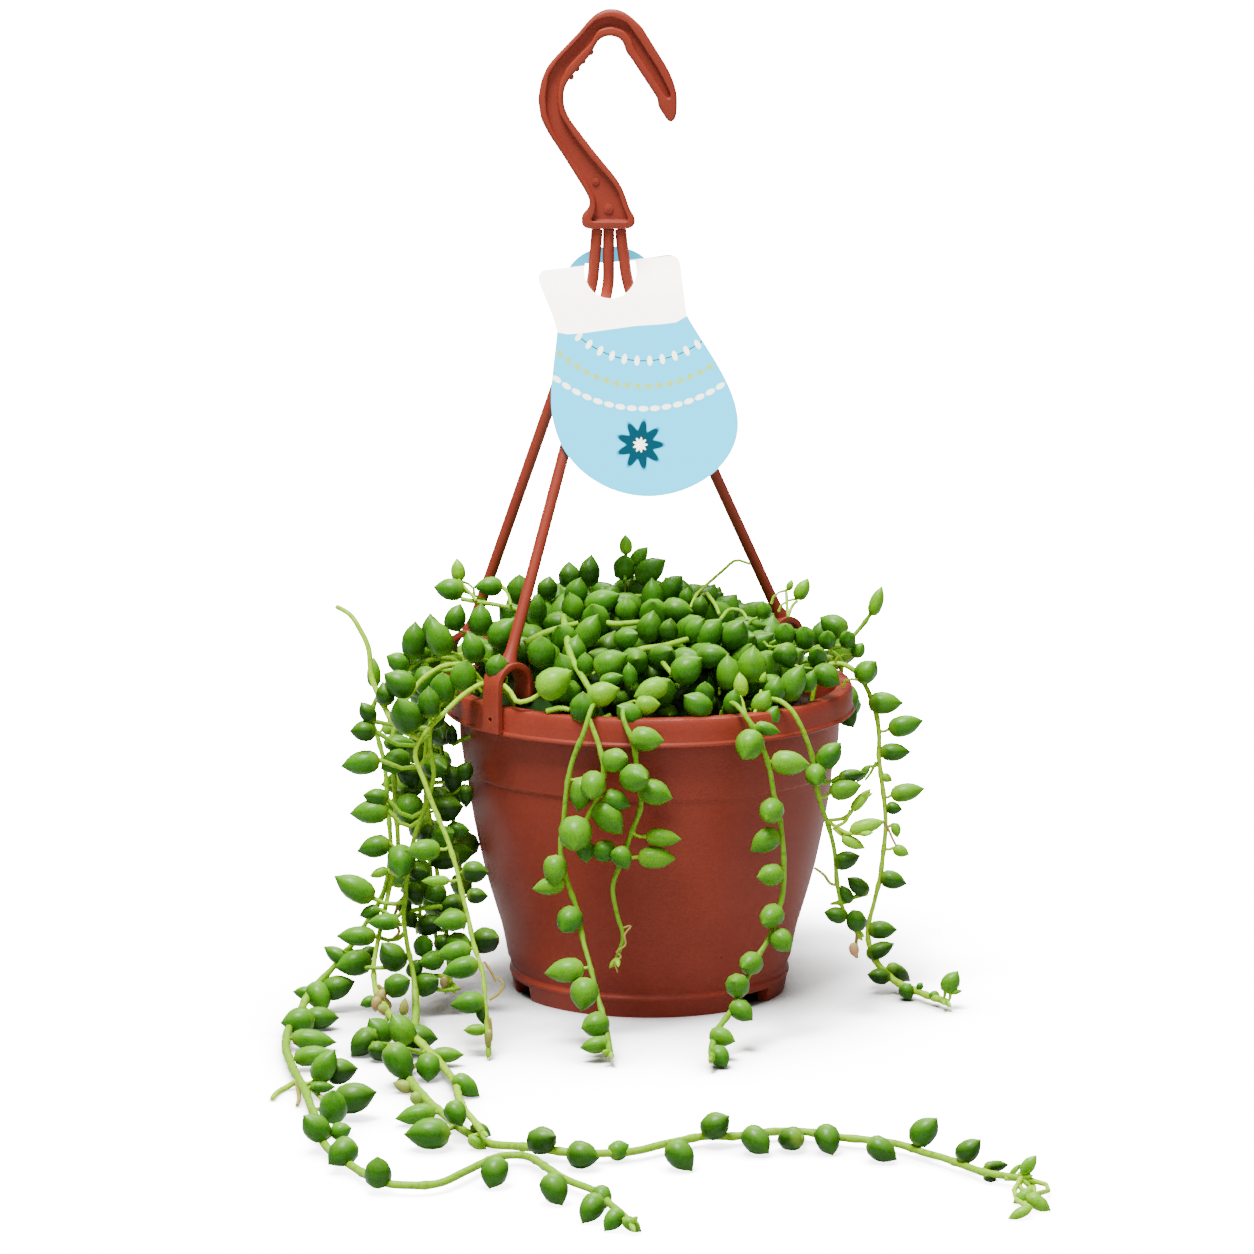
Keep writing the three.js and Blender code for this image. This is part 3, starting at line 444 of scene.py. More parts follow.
potSizes = {
    "segments": 180, "edge": 0.35,
    "outline": [
        (0, 0), (8, 0), (8.6, 3.4), (38.6, 3.4), (39.2, 0), (42.4, 0), (43.4, 5), (43.8, 5.7), (43.8, 6.4),
        (43.3, 7), (43.1, 7.7), (43.6, 9.2), (44.4, 11), (45.3, 16), (46.4, 21), (48.4, 27.5), (50.3, 34),
        (52, 40.5), (53.4, 47), (54.7, 53.5), (55.8, 60), (56.6, 66), (57, 70.4), (57.7, 71.2), (58.3, 75.5),
        (58.9, 80), (59.3, 88), (59.4, 95.1), (61.7, 95.1), (61.9, 88.7), (62.4, 88.3), (63.2, 88.3),
        (63.7, 88.7), (63.65, 89.3), (63.2, 89.9), (63.15, 93), (63, 95.6), (62.6, 96.6), (61.8, 97),
        (59.2, 97), (58.4, 96.7), (58.2, 96), (57.9, 88), (55.3, 66), (51.9, 46), (46.6, 26), (42, 8.5),
        (41.5, 5.4), (0, 5.4),
    ],
    "notchAngles": (82, 202, 320), "notchWidth": 12.5, "notchHeight": 4.6, "footRadius": 42.4,
    "drainRadius": 2, "drainCircle": 24, "drainCount": 6,
    "mouth": 57.9, "rim": 63.2, "bandFoot": 88.6, "top": 97,  # the rim band, which the leaves keep clear of
}
soilSizes = {
    "top": 87, "radius": 57, "lumps": 0.9, "crumbSize": 2.4, "crumbsPerSquareMetre": 26000.0, "seed": 4,
    "sides": 96, "ringStep": 4,
    "wall": [(0, 5.7), (41.1, 5.7), (41.6, 8.6), (46.2, 26), (51.5, 46), (54.9, 66)],
}


def makePot():
    sizes = potSizes
    pot = turned("potShell", sizes["outline"], sizes["segments"])
    cutters = []
    for angle in sizes["notchAngles"]:
        turn = math.radians(angle)
        out, side = np.array([math.cos(turn), math.sin(turn)]), np.array([-math.sin(turn), math.cos(turn)])
        corners = [out * (sizes["footRadius"] + a) + side * b * sizes["notchWidth"] / 2
                   for a, b in ((-6, -1), (6, -1), (6, 1), (-6, 1))]
        block = [(*c, -2) for c in corners] + [(*c, sizes["notchHeight"]) for c in corners]
        sides = [[i, (i + 1) % 4, (i + 1) % 4 + 4, i + 4] for i in range(4)]
        cutters.append(meshPiece("notch", block, [[3, 2, 1, 0], [4, 5, 6, 7], *sides]))
    for i in range(sizes["drainCount"]):
        turn = (i + 0.5) / sizes["drainCount"] * 2 * math.pi
        x, y = sizes["drainCircle"] * math.cos(turn), sizes["drainCircle"] * math.sin(turn)
        cutters.append(tube("drain", [(x, y, -1), (x, y, 3), (x, y, 8)], [sizes["drainRadius"]] * 3, 16))
    cutOut(pot, joinInto(cutters[0], cutters[1:]))
    softenEdges(pot, sizes["edge"])
    smooth(pot)
    pot.data.materials.clear()
    pot.data.materials.append(plastic)
    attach(pot, "root")
    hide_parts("pot")


def newTree(name, inputs):
    # a node tree for a modifier: its geometry comes first, then its named inputs
    tree = bpy.data.node_groups.new(name, "GeometryNodeTree")
    for way in ("OUTPUT", "INPUT"):
        tree.interface.new_socket("Geometry", in_out=way, socket_type="NodeSocketGeometry")
    for label, kind in inputs.items():
        tree.interface.new_socket(label, in_out="INPUT", socket_type="NodeSocket" + kind)
    return tree, addNode(tree, "NodeGroupInput").outputs


def makeCrumbTree():
    # crumbs over a surface: few-sided lumps, turned and scaled by seeded draws
    tree, given = newTree("soilCrumbs", {
        "Crumb size": "Float", "Count per m2": "Float", "Seed": "Int", "Surface": "Material"})
    spots = addNode(tree, "GeometryNodeDistributePointsOnFaces", inputs={
        "Mesh": given["Geometry"], "Density": given["Count per m2"], "Seed": given["Seed"]})
    lump = addNode(tree, "GeometryNodeMeshIcoSphere", inputs={"Radius": 0.5, "Subdivisions": 1})
    turn = addNode(tree, "FunctionNodeRandomValue", {"data_type": "FLOAT_VECTOR"}, {
        "Max": (fullTurn,) * 3, "Seed": given["Seed"]})
    stretch = addNode(tree, "FunctionNodeRandomValue", {"data_type": "FLOAT_VECTOR"}, {
        "Min": (0.5, 0.4, 0.25), "Max": (1.9, 1.1, 0.7), "Seed": given["Seed"]})
    size = addNode(tree, "ShaderNodeVectorMath", {"operation": "SCALE"}, {
        "Vector": stretch.outputs["Value"], "Scale": given["Crumb size"]})
    crumbs = addNode(tree, "GeometryNodeInstanceOnPoints", inputs={
        "Points": spots.outputs["Points"], "Instance": lump.outputs["Mesh"],
        "Rotation": turn.outputs["Value"], "Scale": size.outputs["Vector"]})
    both = addNode(tree, "GeometryNodeJoinGeometry")
    tree.links.new(given["Geometry"], both.inputs["Geometry"])
    tree.links.new(crumbs.outputs["Instances"], both.inputs["Geometry"])
    real = addNode(tree, "GeometryNodeRealizeInstances", inputs={"Geometry": both.outputs["Geometry"]})
    dressed = addNode(tree, "GeometryNodeSetMaterial", inputs={
        "Geometry": real.outputs["Geometry"], "Material": given["Surface"]})
    addNode(tree, "NodeGroupOutput", inputs={"Geometry": dressed.outputs["Geometry"]})
    return tree


def growWith(piece, tree, values):
    # runs a node tree on a piece, its inputs set by identifier, and keeps the plain mesh that it makes
    modifier = piece.modifiers.new(tree.name, "NODES")
    modifier.node_group = tree
    for item in tree.interface.items_tree:
        if item.item_type == "SOCKET" and item.in_out == "INPUT" and item.name in values:
            modifier[item.identifier] = values[item.name]
    return bake(piece)


def makeSoil():
    sizes = soilSizes
    edge, top = (sizes["radius"], sizes["top"] - 0.6), sizes["top"] + 0.2
    rings = [(r, top) for r in range(sizes["radius"] - 1, 0, -sizes["ringStep"])]
    soil = turned("pottingSoil", [*sizes["wall"], edge, *rings, (0, top)], sizes["sides"])
    for vertex in soil.data.vertices:
        if vertex.co.z > (sizes["top"] - 1) * mm:
            vertex.co.z += sizes["lumps"] * mm * noise.noise(vertex.co * 160)
    growWith(soil, makeCrumbTree(), {
        "Crumb size": sizes["crumbSize"] * mm, "Count per m2": sizes["crumbsPerSquareMetre"],
        "Seed": sizes["seed"], "Surface": peat})
    soil.data.shade_smooth()
    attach(soil, "root")
    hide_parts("soil")


makePot()
makeSoil()
print("pot and soil are made")


# Hanger

hookSizes = {
    "centre": (-12.7, 4), "foot": 237.4, "thickness": 6.4, "web": 2.3, "edge": 1, "lip": 0.6, "fillet": 0.5,
    # across and up from the middle of the foot: up the outer side to the tip, then back along the throat
    "outline": [
        (-8.4, 2.5), (-8, 4.4), (-6.2, 5.9), (-5.6, 8.3), (-6.9, 11.4), (-14.2, 23.1), (-18.1, 28.9),
        (-20.6, 33.7), (-21.5, 39.7), (-20.5, 45.3), (-18.7, 49.3), (-16.2, 52.3), (-8.6, 60.2), (-6.2, 63.2),
        (-3.4, 65.7), (-0.4, 66.9), (2.7, 66.8), (5.4, 65.7), (7.8, 63.8), (10.3, 61.4), (18.2, 48.7),
        (20, 44.7), (21, 40.8), (21, 36.8), (20.6, 33.9), (19.4, 32.5), (18.2, 32.8), (14.9, 38),
        (15.2, 39.5), (6.6, 52.6), (5.4, 53.8), (4.8, 56.3), (3.6, 58.1), (1.1, 59), (-1.3, 58.7),
        (-3.1, 57.5), (-5.6, 52.9), (-11.1, 46.8), (-12.6, 44.7), (-13.5, 42.3), (-13.8, 39.2), (-13.2, 36.2),
        (-11.7, 33.1), (-5, 24.3), (2.3, 15.4), (4.2, 12.3), (5.4, 9.3), (6.6, 5.6), (8, 3.6), (8.4, 2),
        (7.6, 0.6), (5.7, 0), (-6.3, 0), (-7.9, 0.7),
    ],
    "panel": [  # the sunk field between the ribs, the same way round
        (-5.6, 2.5), (-4.5, 4.1), (-3.7, 6.5), (-4.1, 9.6), (-6.8, 14.5), (-12, 22.1), (-16.9, 30.1),
        (-18.7, 35), (-19.1, 40.5), (-18.1, 47.1), (-14.4, 52.6), (-10.4, 56.6), (-6.8, 60.8), (-3.4, 63.8),
        (1.1, 64.8), (5.7, 62.9), (9.1, 58.1), (15.2, 48.7), (17.9, 43.5), (19.2, 40.6), (18.9, 39.7),
        (18, 39.8), (11.5, 49.6), (8.1, 54.7), (7, 58), (4.8, 60.5), (0.8, 61.8), (-3.1, 60.8), (-5.3, 56.7),
        (-9.2, 52.9), (-12.6, 49.3), (-15, 44.1), (-15.5, 39.5), (-14.8, 35), (-10.8, 28.6), (-5, 21.2),
        (0.5, 15.1), (2.9, 11.7), (4.2, 7.4), (6.3, 2.5),
    ],
    "bosses": [(-3.9, 14.5, 1.15), (0, 6.2, 1.55)],  # round marks of the ejector pins: across, up, radius
    # small catches on the throat
    "barbs": [(-5.3, 53.9), (-7.7, 51.2), (-9.6, 48.9), (-11.3, 46.4)], "barb": 0.85,
}
armSizes = {
    "radius": 1.78, "bundle": 219, "clipCentre": 58.3, "spring": 103, "outer": 7.4, "inner": 5.3,
    "width": 7.2, "outerFoot": 89, "innerFoot": 97.6, "catchDepth": 1.7, "catchHeight": 1.3, "edge": 0.4,
    "sunk": 0.9, "gap": 0.3, "parting": 230, "flare": 1.1, "flareReach": 2.6, "pinRadius": 0.75,
    "pinHeight": 93.4, "solidEnd": 109.2,  # heights of the pin hole and of the rods' ends in the solids
    "arms": [("arm_back_left", 164, -16.2, -18.1), ("arm_front_left", 222.5, -12.6, -13),
             ("arm_back_right", 44, -9, -6.2)],
}


def arcPoints(centre, radius, start, end, count):
    turns = [math.radians(start + (end - start) * i / count) for i in range(count + 1)]
    return [(centre[0] + radius * math.cos(t), centre[1] + radius * math.sin(t)) for t in turns]


def eased(loop, rounds):
    for _ in range(rounds):
        loop = (np.roll(loop, 1, 0) + 2 * loop + np.roll(loop, -1, 0)) / 4
    return loop


def evenLoop(points, spacing=0.4, rounds=9):
    # the closed loop with its points set evenly and its bends eased, walked anticlockwise
    loop = np.array(points + points[:1], float)
    lengths = lengthsAlong(loop)
    stops = np.linspace(0, lengths[-1], int(lengths[-1] / spacing), endpoint=False)
    loop = eased(np.stack([np.interp(stops, lengths, loop[:, axis]) for axis in (0, 1)], 1), rounds)
    turning = np.sum(loop[:, 0] * np.roll(loop[:, 1], -1) - loop[:, 1] * np.roll(loop[:, 0], -1))
    return loop if turning > 0 else loop[::-1]


def movedIn(loop, distance):
    # each point of the loop moved square to it
    along = np.roll(loop, -1, 0) - np.roll(loop, 1, 0)
    along /= np.linalg.norm(along, axis=1)[:, None]
    return eased(loop + distance * np.stack([-along[:, 1], along[:, 0]], 1), round(abs(distance) * 6))


def makeHook():
    sizes = hookSizes
    (x0, y0), z0 = sizes["centre"], sizes["foot"]
    outline, panel = (evenLoop([(x0 + x, z0 + z) for x, z in sizes[part]]) for part in ("outline", "panel"))
    half, edge, lip, fillet = sizes["thickness"] / 2, sizes["edge"], sizes["lip"], sizes["fillet"]
    vertices, faces, turns = [], [], [math.pi / 2 * i / 5 for i in range(6)]

    def addLoop(loop, y):
        vertices.extend((x, y, z) for x, z in loop)
        return list(range(len(vertices) - len(loop), len(vertices)))

    def sew(loops, back):
        for near, far in zip(loops, loops[1:]):
            around = list(zip(near, near[1:] + near[:1], far[1:] + far[:1], far))
            faces.extend([list(reversed(f)) for f in around] if back else [list(f) for f in around])

    walls = []
    for back in (False, True):
        side = 1 if back else -1
        outer = [addLoop(movedIn(outline, edge * (1 - math.cos(t))),
                         y0 + side * (half - edge + edge * math.sin(t))) for t in turns]
        inner = [addLoop(movedIn(panel, -lip * (1 - math.sin(t))),
                         y0 + side * (half - lip + lip * math.cos(t))) for t in turns]
        inner += [addLoop(movedIn(panel, fillet * (1 - math.cos(t))),
                          y0 + side * (sizes["web"] / 2 + fillet * (1 - math.sin(t)))) for t in turns]
        sew(outer, back)
        sew(inner, back)
        rims = [outer[-1], inner[0]]
        flat = [i for rim in rims for i in rim]
        drawn = [[(vertices[i][0], vertices[i][2], 0) for i in rim] for rim in rims]
        for corners in tessellate_polygon(drawn):
            a, b, c = (np.array(vertices[flat[i]])[[0, 2]] for i in corners)
            ahead = (b - a)[0] * (c - a)[1] - (b - a)[1] * (c - a)[0] > 0
            faces.append([flat[i] for i in (corners if ahead != back else reversed(corners))])
        faces.append(list(reversed(inner[-1])) if back else inner[-1])
        walls.append(outer[0])
    sew(walls[::-1], False)
    hook = meshPiece("hangerHook", vertices, faces)
    extras = []
    for x, z, radius in sizes["bosses"]:
        for face in (-1, 1):
            for share, height in ((1, 0.1), (0.4, 0.25)):
                rim = arcPoints((x0 + x, z0 + z), radius * share, 0, 345, 23)
                disc = plate("boss", rim, 0.7, y0 + face * (sizes["web"] / 2 + height))
                extras.append(softenEdges(disc, 0.15, 50, 2))
    for x, z in sizes["barbs"]:
        ridge = arcPoints((x0 + x, z0 + z), sizes["barb"], 0, 340, 17)
        extras.append(softenEdges(plate("barb", ridge, 0.8 * sizes["thickness"], y0), 0.25, 50, 2))
    joinInto(hook, extras)
    finishHanger(hook, "hook")


def clipOutline():
    sizes = armSizes
    middle = (sizes["clipCentre"], sizes["spring"])
    outer, inner = sizes["outer"], sizes["inner"]
    lip = middle[0] + inner - sizes["catchDepth"]
    return ([(middle[0] + outer, sizes["outerFoot"])] + arcPoints(middle, outer, 0, 180, 28)
            + [(middle[0] - outer, sizes["innerFoot"]), (middle[0] - inner, sizes["innerFoot"])]
            + arcPoints(middle, inner, 180, 0, 24)
            + [(middle[0] + inner, sizes["outerFoot"] + sizes["catchHeight"]),
               (lip, sizes["outerFoot"] + sizes["catchHeight"]), (lip, sizes["outerFoot"])])


def makeArm(name, angle, topX, bundleX):
    sizes = armSizes
    turn = math.radians(angle)
    y = hookSizes["centre"][1]
    clip = softenEdges(plate(name + "Clip", clipOutline(), sizes["width"], 0), sizes["edge"])
    pinPath = [(70, 0, sizes["pinHeight"]), (60, 0, sizes["pinHeight"])]
    pinHole = tube("pinHole", pinPath, [sizes["pinRadius"]] * 2, 14)
    cutOut(clip, pinHole)
    for vertex in clip.data.vertices:
        x, side = vertex.co.x, vertex.co.y
        vertex.co.x = x * math.cos(turn) - side * math.sin(turn)
        vertex.co.y = x * math.sin(turn) + side * math.cos(turn)
    out = sizes["clipCentre"]
    foot = sizes["spring"] + sizes["outer"] - sizes["sunk"]
    end = np.array([out * math.cos(turn), out * math.sin(turn), foot])
    start = np.array([bundleX, y, sizes["bundle"]])
    path = smoothPath([(topX, y, hookSizes["foot"] - sizes["gap"]),
                       (topX + (bundleX - topX) * 0.3, y, sizes["parting"]), start,
                       start + (end - start) * 0.12, start + (end - start) * 0.5, end], 16)
    reach = np.linalg.norm(path - end, axis=1)
    radii = sizes["radius"] + sizes["flare"] * np.exp(-(reach / sizes["flareReach"]) ** 2)
    rod = tube(name + "Rod", path, radii, 24)
    joinInto(rod, [clip])
    rod.name = name + "Rod"
    finishHanger(rod, name)


def finishHanger(piece, node):
    smooth(piece, 38)
    piece.data.materials.clear()
    piece.data.materials.append(plastic)
    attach(piece, "root")
    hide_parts(node)


makeHook()
for arm in armSizes["arms"]:
    makeArm(*arm)
print("hanger is made")


# Tag

tagSizes = {
    "thickness": 0.6, "crossing": 222.3, "crossingY": 4.65, "lean": 0.4, "curl": 2.4, "curlLength": 3.5,
    "rows": 1.2, "paintedGlow": (2.1, 4.8),  # the distance between the card's bends, and the strength of the painted light that the blue and the white give off
    # the tab's deep teal is partly its print and partly painted shade from the rods in front of it
    "blue": "#00B2DC", "band": "#FFF2E8", "tab": "#08708C",
    # a plain garland pattern, each motif with its centre, its radius, its count, its half sizes and its ink
    "motifs": [
        ("line", (-2, 229), 31, 1, (0.16, 0), "#003844"),
        ("marks", (-2, 229), 31, 50, (1.5, 0.8), "#F6F8E0"),
        ("line", (-2, 229), 38.5, 1, (0.16, 0), "#7FA95E"),
        ("marks", (-2, 229), 38.5, 74, (0.95, 0.95), "#7FA95E"),
        ("marks", (-2, 229), 45, 80, (0.8, 1.5), "#F6F8E0"),
        ("flower", (-3, 173.5), 7.4, 9, (1, 1), "#00303C"),
        ("flower", (-3, 173.5), 2.2, 9, (1, 1), "#F6F8E0"),
    ],
    "foldsFrom": 159.4, "foldsTo": 231,
    # clockwise from the left of the tab: a point, or a curve's two handles, its end and its count of points
    "outline": [
        ((-24.8, 225),), ((-20, 232.2), (-7.5, 233), (-1.5, 227.7), 14),
        ((5, 228.6),), ((8, 229), (9.5, 227.5), (9.6, 224.5), 8),
        ((11.3, 211.4),), ((17, 201.5), (26.9, 190.5), (26.9, 179.5), 16),
        ((26.9, 167.5), (13, 158.5), (-0.6, 158.5), 20), ((-14, 158.5), (-30.2, 168), (-30.2, 186.5), 22),
        ((-30.2, 193), (-29, 200), (-28.4, 206.4), 10), ((-29.5, 211.5), (-32, 216), (-34, 221), 8),
        ((-34.7, 223), (-33.7, 224.3), (-31, 224.4), 8),
    ],
    "hole": (-12.1, 224.2), "holeRadius": 8,
    "bandEdge": [(-35, 206.4), (-28.3, 206.4), (-25.4, 205.8), (-21.4, 206), (-13.1, 207.1), (-4.9, 208.2),
                 (3.9, 208.8), (8, 209.3), (11.2, 211.1), (20, 213)],
    "tabEdge": [(-36, 224.4), (-24.8, 225), (-1.5, 227.7), (12, 229)],
}


def bezier(a, b, c, d, count):
    points = []
    for i in range(1, count + 1):
        t = i / count
        w = ((1 - t) ** 3, 3 * t * (1 - t) ** 2, 3 * t * t * (1 - t), t**3)
        points.append(tuple(w[0] * p + w[1] * q + w[2] * r + w[3] * s for p, q, r, s in zip(a, b, c, d)))
    return points


def tagOutline():
    points = []
    for step in tagSizes["outline"]:
        points += bezier(points[-1], *step) if len(step) > 1 else step
    return points


def tagDepth(z):
    sizes = tagSizes
    drop = z - sizes["crossing"]
    return sizes["crossingY"] + sizes["lean"] * drop + sizes["curl"] * math.tanh(drop / sizes["curlLength"])


def makeTag():
    sizes = tagSizes
    outline = tagOutline()
    card = plate("plantTag", list(reversed(outline)), sizes["thickness"], 0)
    hole = plate("tagHole", arcPoints(sizes["hole"], sizes["holeRadius"], 166, 380, 40), 20, 0)
    cutOut(card, hole)
    mesh = bmesh.new()
    mesh.from_mesh(card.data)
    z = sizes["foldsFrom"]
    while z < sizes["foldsTo"]:
        parts = mesh.verts[:] + mesh.edges[:] + mesh.faces[:]
        bmesh.ops.bisect_plane(mesh, geom=parts, plane_co=(0, 0, z * mm), plane_no=(0, 0, 1), dist=1e-7)
        z += sizes["rows"]
    bmesh.ops.recalc_face_normals(mesh, faces=mesh.faces[:])
    mesh.to_mesh(card.data)
    mesh.free()
    # the print is painted flat on the card before the card is bent, so its map is the flat card's own place
    layer = card.data.uv_layers.new(name="print")
    for loop in card.data.loops:
        co = card.data.vertices[loop.vertex_index].co
        layer.data[loop.index].uv = (co.x / mm / 100, co.z / mm / 100)
    for vertex in card.data.vertices:
        vertex.co.y += tagDepth(vertex.co.z / mm) * mm
    smooth(card, 40)
    card.data.materials.clear()
    card.data.materials.append(makePrintedCard())
    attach(card, "root")
    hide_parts("tag")


def paintMotif(tree, x, z, kind, centre, radius, count, halves):
    # how much ink a motif leaves at a place on the card: a ring, marks set evenly along a ring, or a flower
    across = addNode(tree, "ShaderNodeMath", {"operation": "SUBTRACT"}, {0: x, 1: centre[0] / 100})
    up = addNode(tree, "ShaderNodeMath", {"operation": "SUBTRACT"}, {0: z, 1: centre[1] / 100})
    arm = addNode(tree, "ShaderNodeCombineXYZ", inputs={"X": across.outputs[0], "Y": up.outputs[0]})
    reach = addNode(tree, "ShaderNodeVectorMath", {"operation": "LENGTH"}, {
        "Vector": arm.outputs[0]}).outputs["Value"]
    turn = addNode(tree, "ShaderNodeMath", {"operation": "ARCTAN2"}, {0: up.outputs[0], 1: across.outputs[0]})
    if kind == "flower":
        wave = addNode(tree, "ShaderNodeMath", {"operation": "MULTIPLY"}, {0: turn.outputs[0], 1: count})
        petals = addNode(tree, "ShaderNodeMath", {"operation": "COSINE"}, {0: wave.outputs[0]})
        rim = addNode(tree, "ShaderNodeMath", {"operation": "MULTIPLY_ADD"}, {
            0: petals.outputs[0], 1: radius / 500, 2: radius / 125})
        size = addNode(tree, "ShaderNodeMath", {"operation": "DIVIDE"}, {
            0: reach, 1: rim.outputs[0]}).outputs[0]
    else:
        step = 2 * math.pi / count
        beyond = addNode(tree, "ShaderNodeMath", {"operation": "SUBTRACT"}, {0: reach, 1: radius / 100})
        off = addNode(tree, "ShaderNodeMath", {"operation": "DIVIDE"}, {
            0: beyond.outputs[0], 1: halves[0] / 100}).outputs[0]
        steps = addNode(tree, "ShaderNodeMath", {"operation": "DIVIDE"}, {0: turn.outputs[0], 1: step})
        share = addNode(tree, "ShaderNodeMath", {"operation": "PINGPONG"}, {0: steps.outputs[0], 1: 0.5})
        along = addNode(tree, "ShaderNodeMath", {"operation": "MULTIPLY"}, {
            0: share.outputs[0], 1: step * radius})
        near = addNode(tree, "ShaderNodeMath", {"operation": "DIVIDE"}, {
            0: along.outputs[0], 1: halves[1]}).outputs[0] if kind == "marks" else 0.0
        mark = addNode(tree, "ShaderNodeCombineXYZ", inputs={"X": off, "Y": near})
        size = addNode(tree, "ShaderNodeVectorMath", {"operation": "LENGTH"}, {
            "Vector": mark.outputs[0]}).outputs["Value"]
    return addNode(tree, "ShaderNodeMapRange", inputs={
        "Value": size, "From Min": 1.08, "From Max": 0.92}).outputs["Result"]


def makePrintedCard():
    # coated card, offset printed and die cut: flat clean inks under a satin varnish, with a faint paper tooth
    material, tree, shader = newMaterial("printedCard", {
        "IOR": 1.5, "Roughness": 0.6, "Specular IOR Level": 0.06})
    flat = addNode(tree, "ShaderNodeUVMap", {"uv_map": "print"}).outputs["UV"]
    parts = addNode(tree, "ShaderNodeSeparateXYZ", inputs={"Vector": flat})
    x, z = parts.outputs["X"], parts.outputs["Y"]
    # a curve node runs from 0 to 1 both ways: over 80 mm across the card, and over the 50 mm above 190 mm
    share = addNode(tree, "ShaderNodeMapRange", inputs={
        "Value": x, "From Min": -0.4, "From Max": 0.4}).outputs["Result"]
    edges = []
    for name in ("bandEdge", "tabEdge"):
        knots = sorted(((px / 100 + 0.4) / 0.8, (pz - 190) / 50) for px, pz in tagSizes[name])
        curve = addNode(tree, "ShaderNodeFloatCurve", inputs={"Value": share})
        line = curve.mapping.curves[0]
        curve.mapping.use_clip = False
        while len(line.points) < len(knots):
            line.points.new(0.5, 0.5)
        for point, knot in zip(line.points, knots):
            point.location = knot
            point.handle_type = "VECTOR"
        curve.mapping.update()
        height = addNode(tree, "ShaderNodeMath", {"operation": "MULTIPLY_ADD"}, {
            0: curve.outputs["Value"], 1: 0.5, 2: 1.9})
        over = addNode(tree, "ShaderNodeMath", {"operation": "SUBTRACT"}, {0: z, 1: height.outputs[0]})
        edges.append(addNode(tree, "ShaderNodeMapRange", inputs={
            "Value": over.outputs[0], "From Min": -0.0012, "From Max": 0.0012}).outputs["Result"])
    ground = toLinear(tagSizes["blue"])
    for kind, *values, ink in tagSizes["motifs"]:
        painted = addNode(tree, "ShaderNodeMix", {"data_type": "RGBA"}, {
            0: paintMotif(tree, x, z, kind, *values), 6: ground, 7: toLinear(ink)})
        ground = painted.outputs[2]
    banded = addNode(tree, "ShaderNodeMix", {"data_type": "RGBA"},
                     {0: edges[0], 6: ground, 7: toLinear(tagSizes["band"])})
    # the tab: its print with painted shade from the rods in front of it
    withShadedTab = addNode(tree, "ShaderNodeMix", {"data_type": "RGBA"},
                     {0: edges[1], 6: banded.outputs[2], 7: toLinear(tagSizes["tab"])})
    tree.links.new(withShadedTab.outputs[2], shader.inputs["Base Color"])
    # painted light: the card gives off light in its own colour, the white band more than the blue, though it
    # is no lamp
    tree.links.new(withShadedTab.outputs[2], shader.inputs["Emission Color"])
    low, high = tagSizes["paintedGlow"]
    paintedGlow = addNode(tree, "ShaderNodeMapRange", inputs={"Value": edges[0], "To Min": low, "To Max": high})
    tree.links.new(paintedGlow.outputs["Result"], shader.inputs["Emission Strength"])
    place = addNode(tree, "ShaderNodeTexCoord").outputs["Object"]
    tooth = addNode(tree, "ShaderNodeTexNoise", inputs={"Vector": place, "Scale": 2500, "Detail": 2})
    bump = addNode(tree, "ShaderNodeBump", inputs={
        "Height": tooth.outputs["Fac"], "Strength": 0.05, "Distance": 0.0001})
    tree.links.new(bump.outputs["Normal"], shader.inputs["Normal"])
    return material


makeTag()
print("tag is made")


# Plant

leafShape = {
    "sides": 9,
    "profile": [
        (0.08, 0), (0.3, 0.05), (0.455, 0.18), (0.5, 0.37), (0.475, 0.55), (0.385, 0.7), (0.235, 0.83),
        (0.1, 0.92), (0.045, 0.965), (0, 1),
    ],
}
stemShape = {
    "sides": 7, "step": 1.6, "twigStep": 0.8, "thickness": 0.7, "onFloor": 1.16, "floorLevels": [6, 16],
    "root": 1.1, "taper": 0.22, "stalk": 0.42, "wobble": 0.34, "swayScale": 0.09, "knot": 0.24,
    "knotReach": 1.1, "tint": (0.35, 0.5),
}
stalkShape = {"bend": 0.8, "kneeAt": 0.5, "kneeHeight": 1, "inLeaf": 0.25, "girths": [1.2, 1, 0.95, 1.15]}
sketchKinds = {
    "thickness": "FLOAT", "tint": "FLOAT", "dry": "FLOAT", "roll": "FLOAT", "isLeaf": "BOOLEAN",
    "heading": "FLOAT_VECTOR", "leafSize": "FLOAT_VECTOR",
}
mound = {
    "centre": (-6, 2), "radius": 59, "foot": 96, "height": 30, "width": 9.1, "stray": 2.4, "stemSunk": 3,
    "layers": [(300, 3, 6.9, 0), (170, 9, 5.6, 0.22)],  # leaves, how deep, how far apart, how much darker: painted shade for the deeper leaves
    "levels": [86, 96, 104, 112, 120, 128, 136], "fronts": [60, 54, 45, 33, 18, 4, -2],  # how far it bulges
    "middle": -8, "half": 78, "rise": 0.75, "away": 1.1, "jitter": 1.25, "lift": 2.2, "thinStem": 0.6,
    "size": (0.86, 0.28), "slimness": (1.22, 0.22), "tint": 0.3, "tintSpread": 0.34, "stalkTint": (0.5, 0.4),
    "stalkDrop": 2.2, "stalkLength": 5, "stalkAim": 99.0, "stalkRise": 0.6, "squeeze": 0.62, "air": 0.1,
    "core": [(0, 87.2), (50, 87.2), (52, 92), (47, 101), (38, 109), (24, 116.5), (10, 120), (0, 120.5)],
}


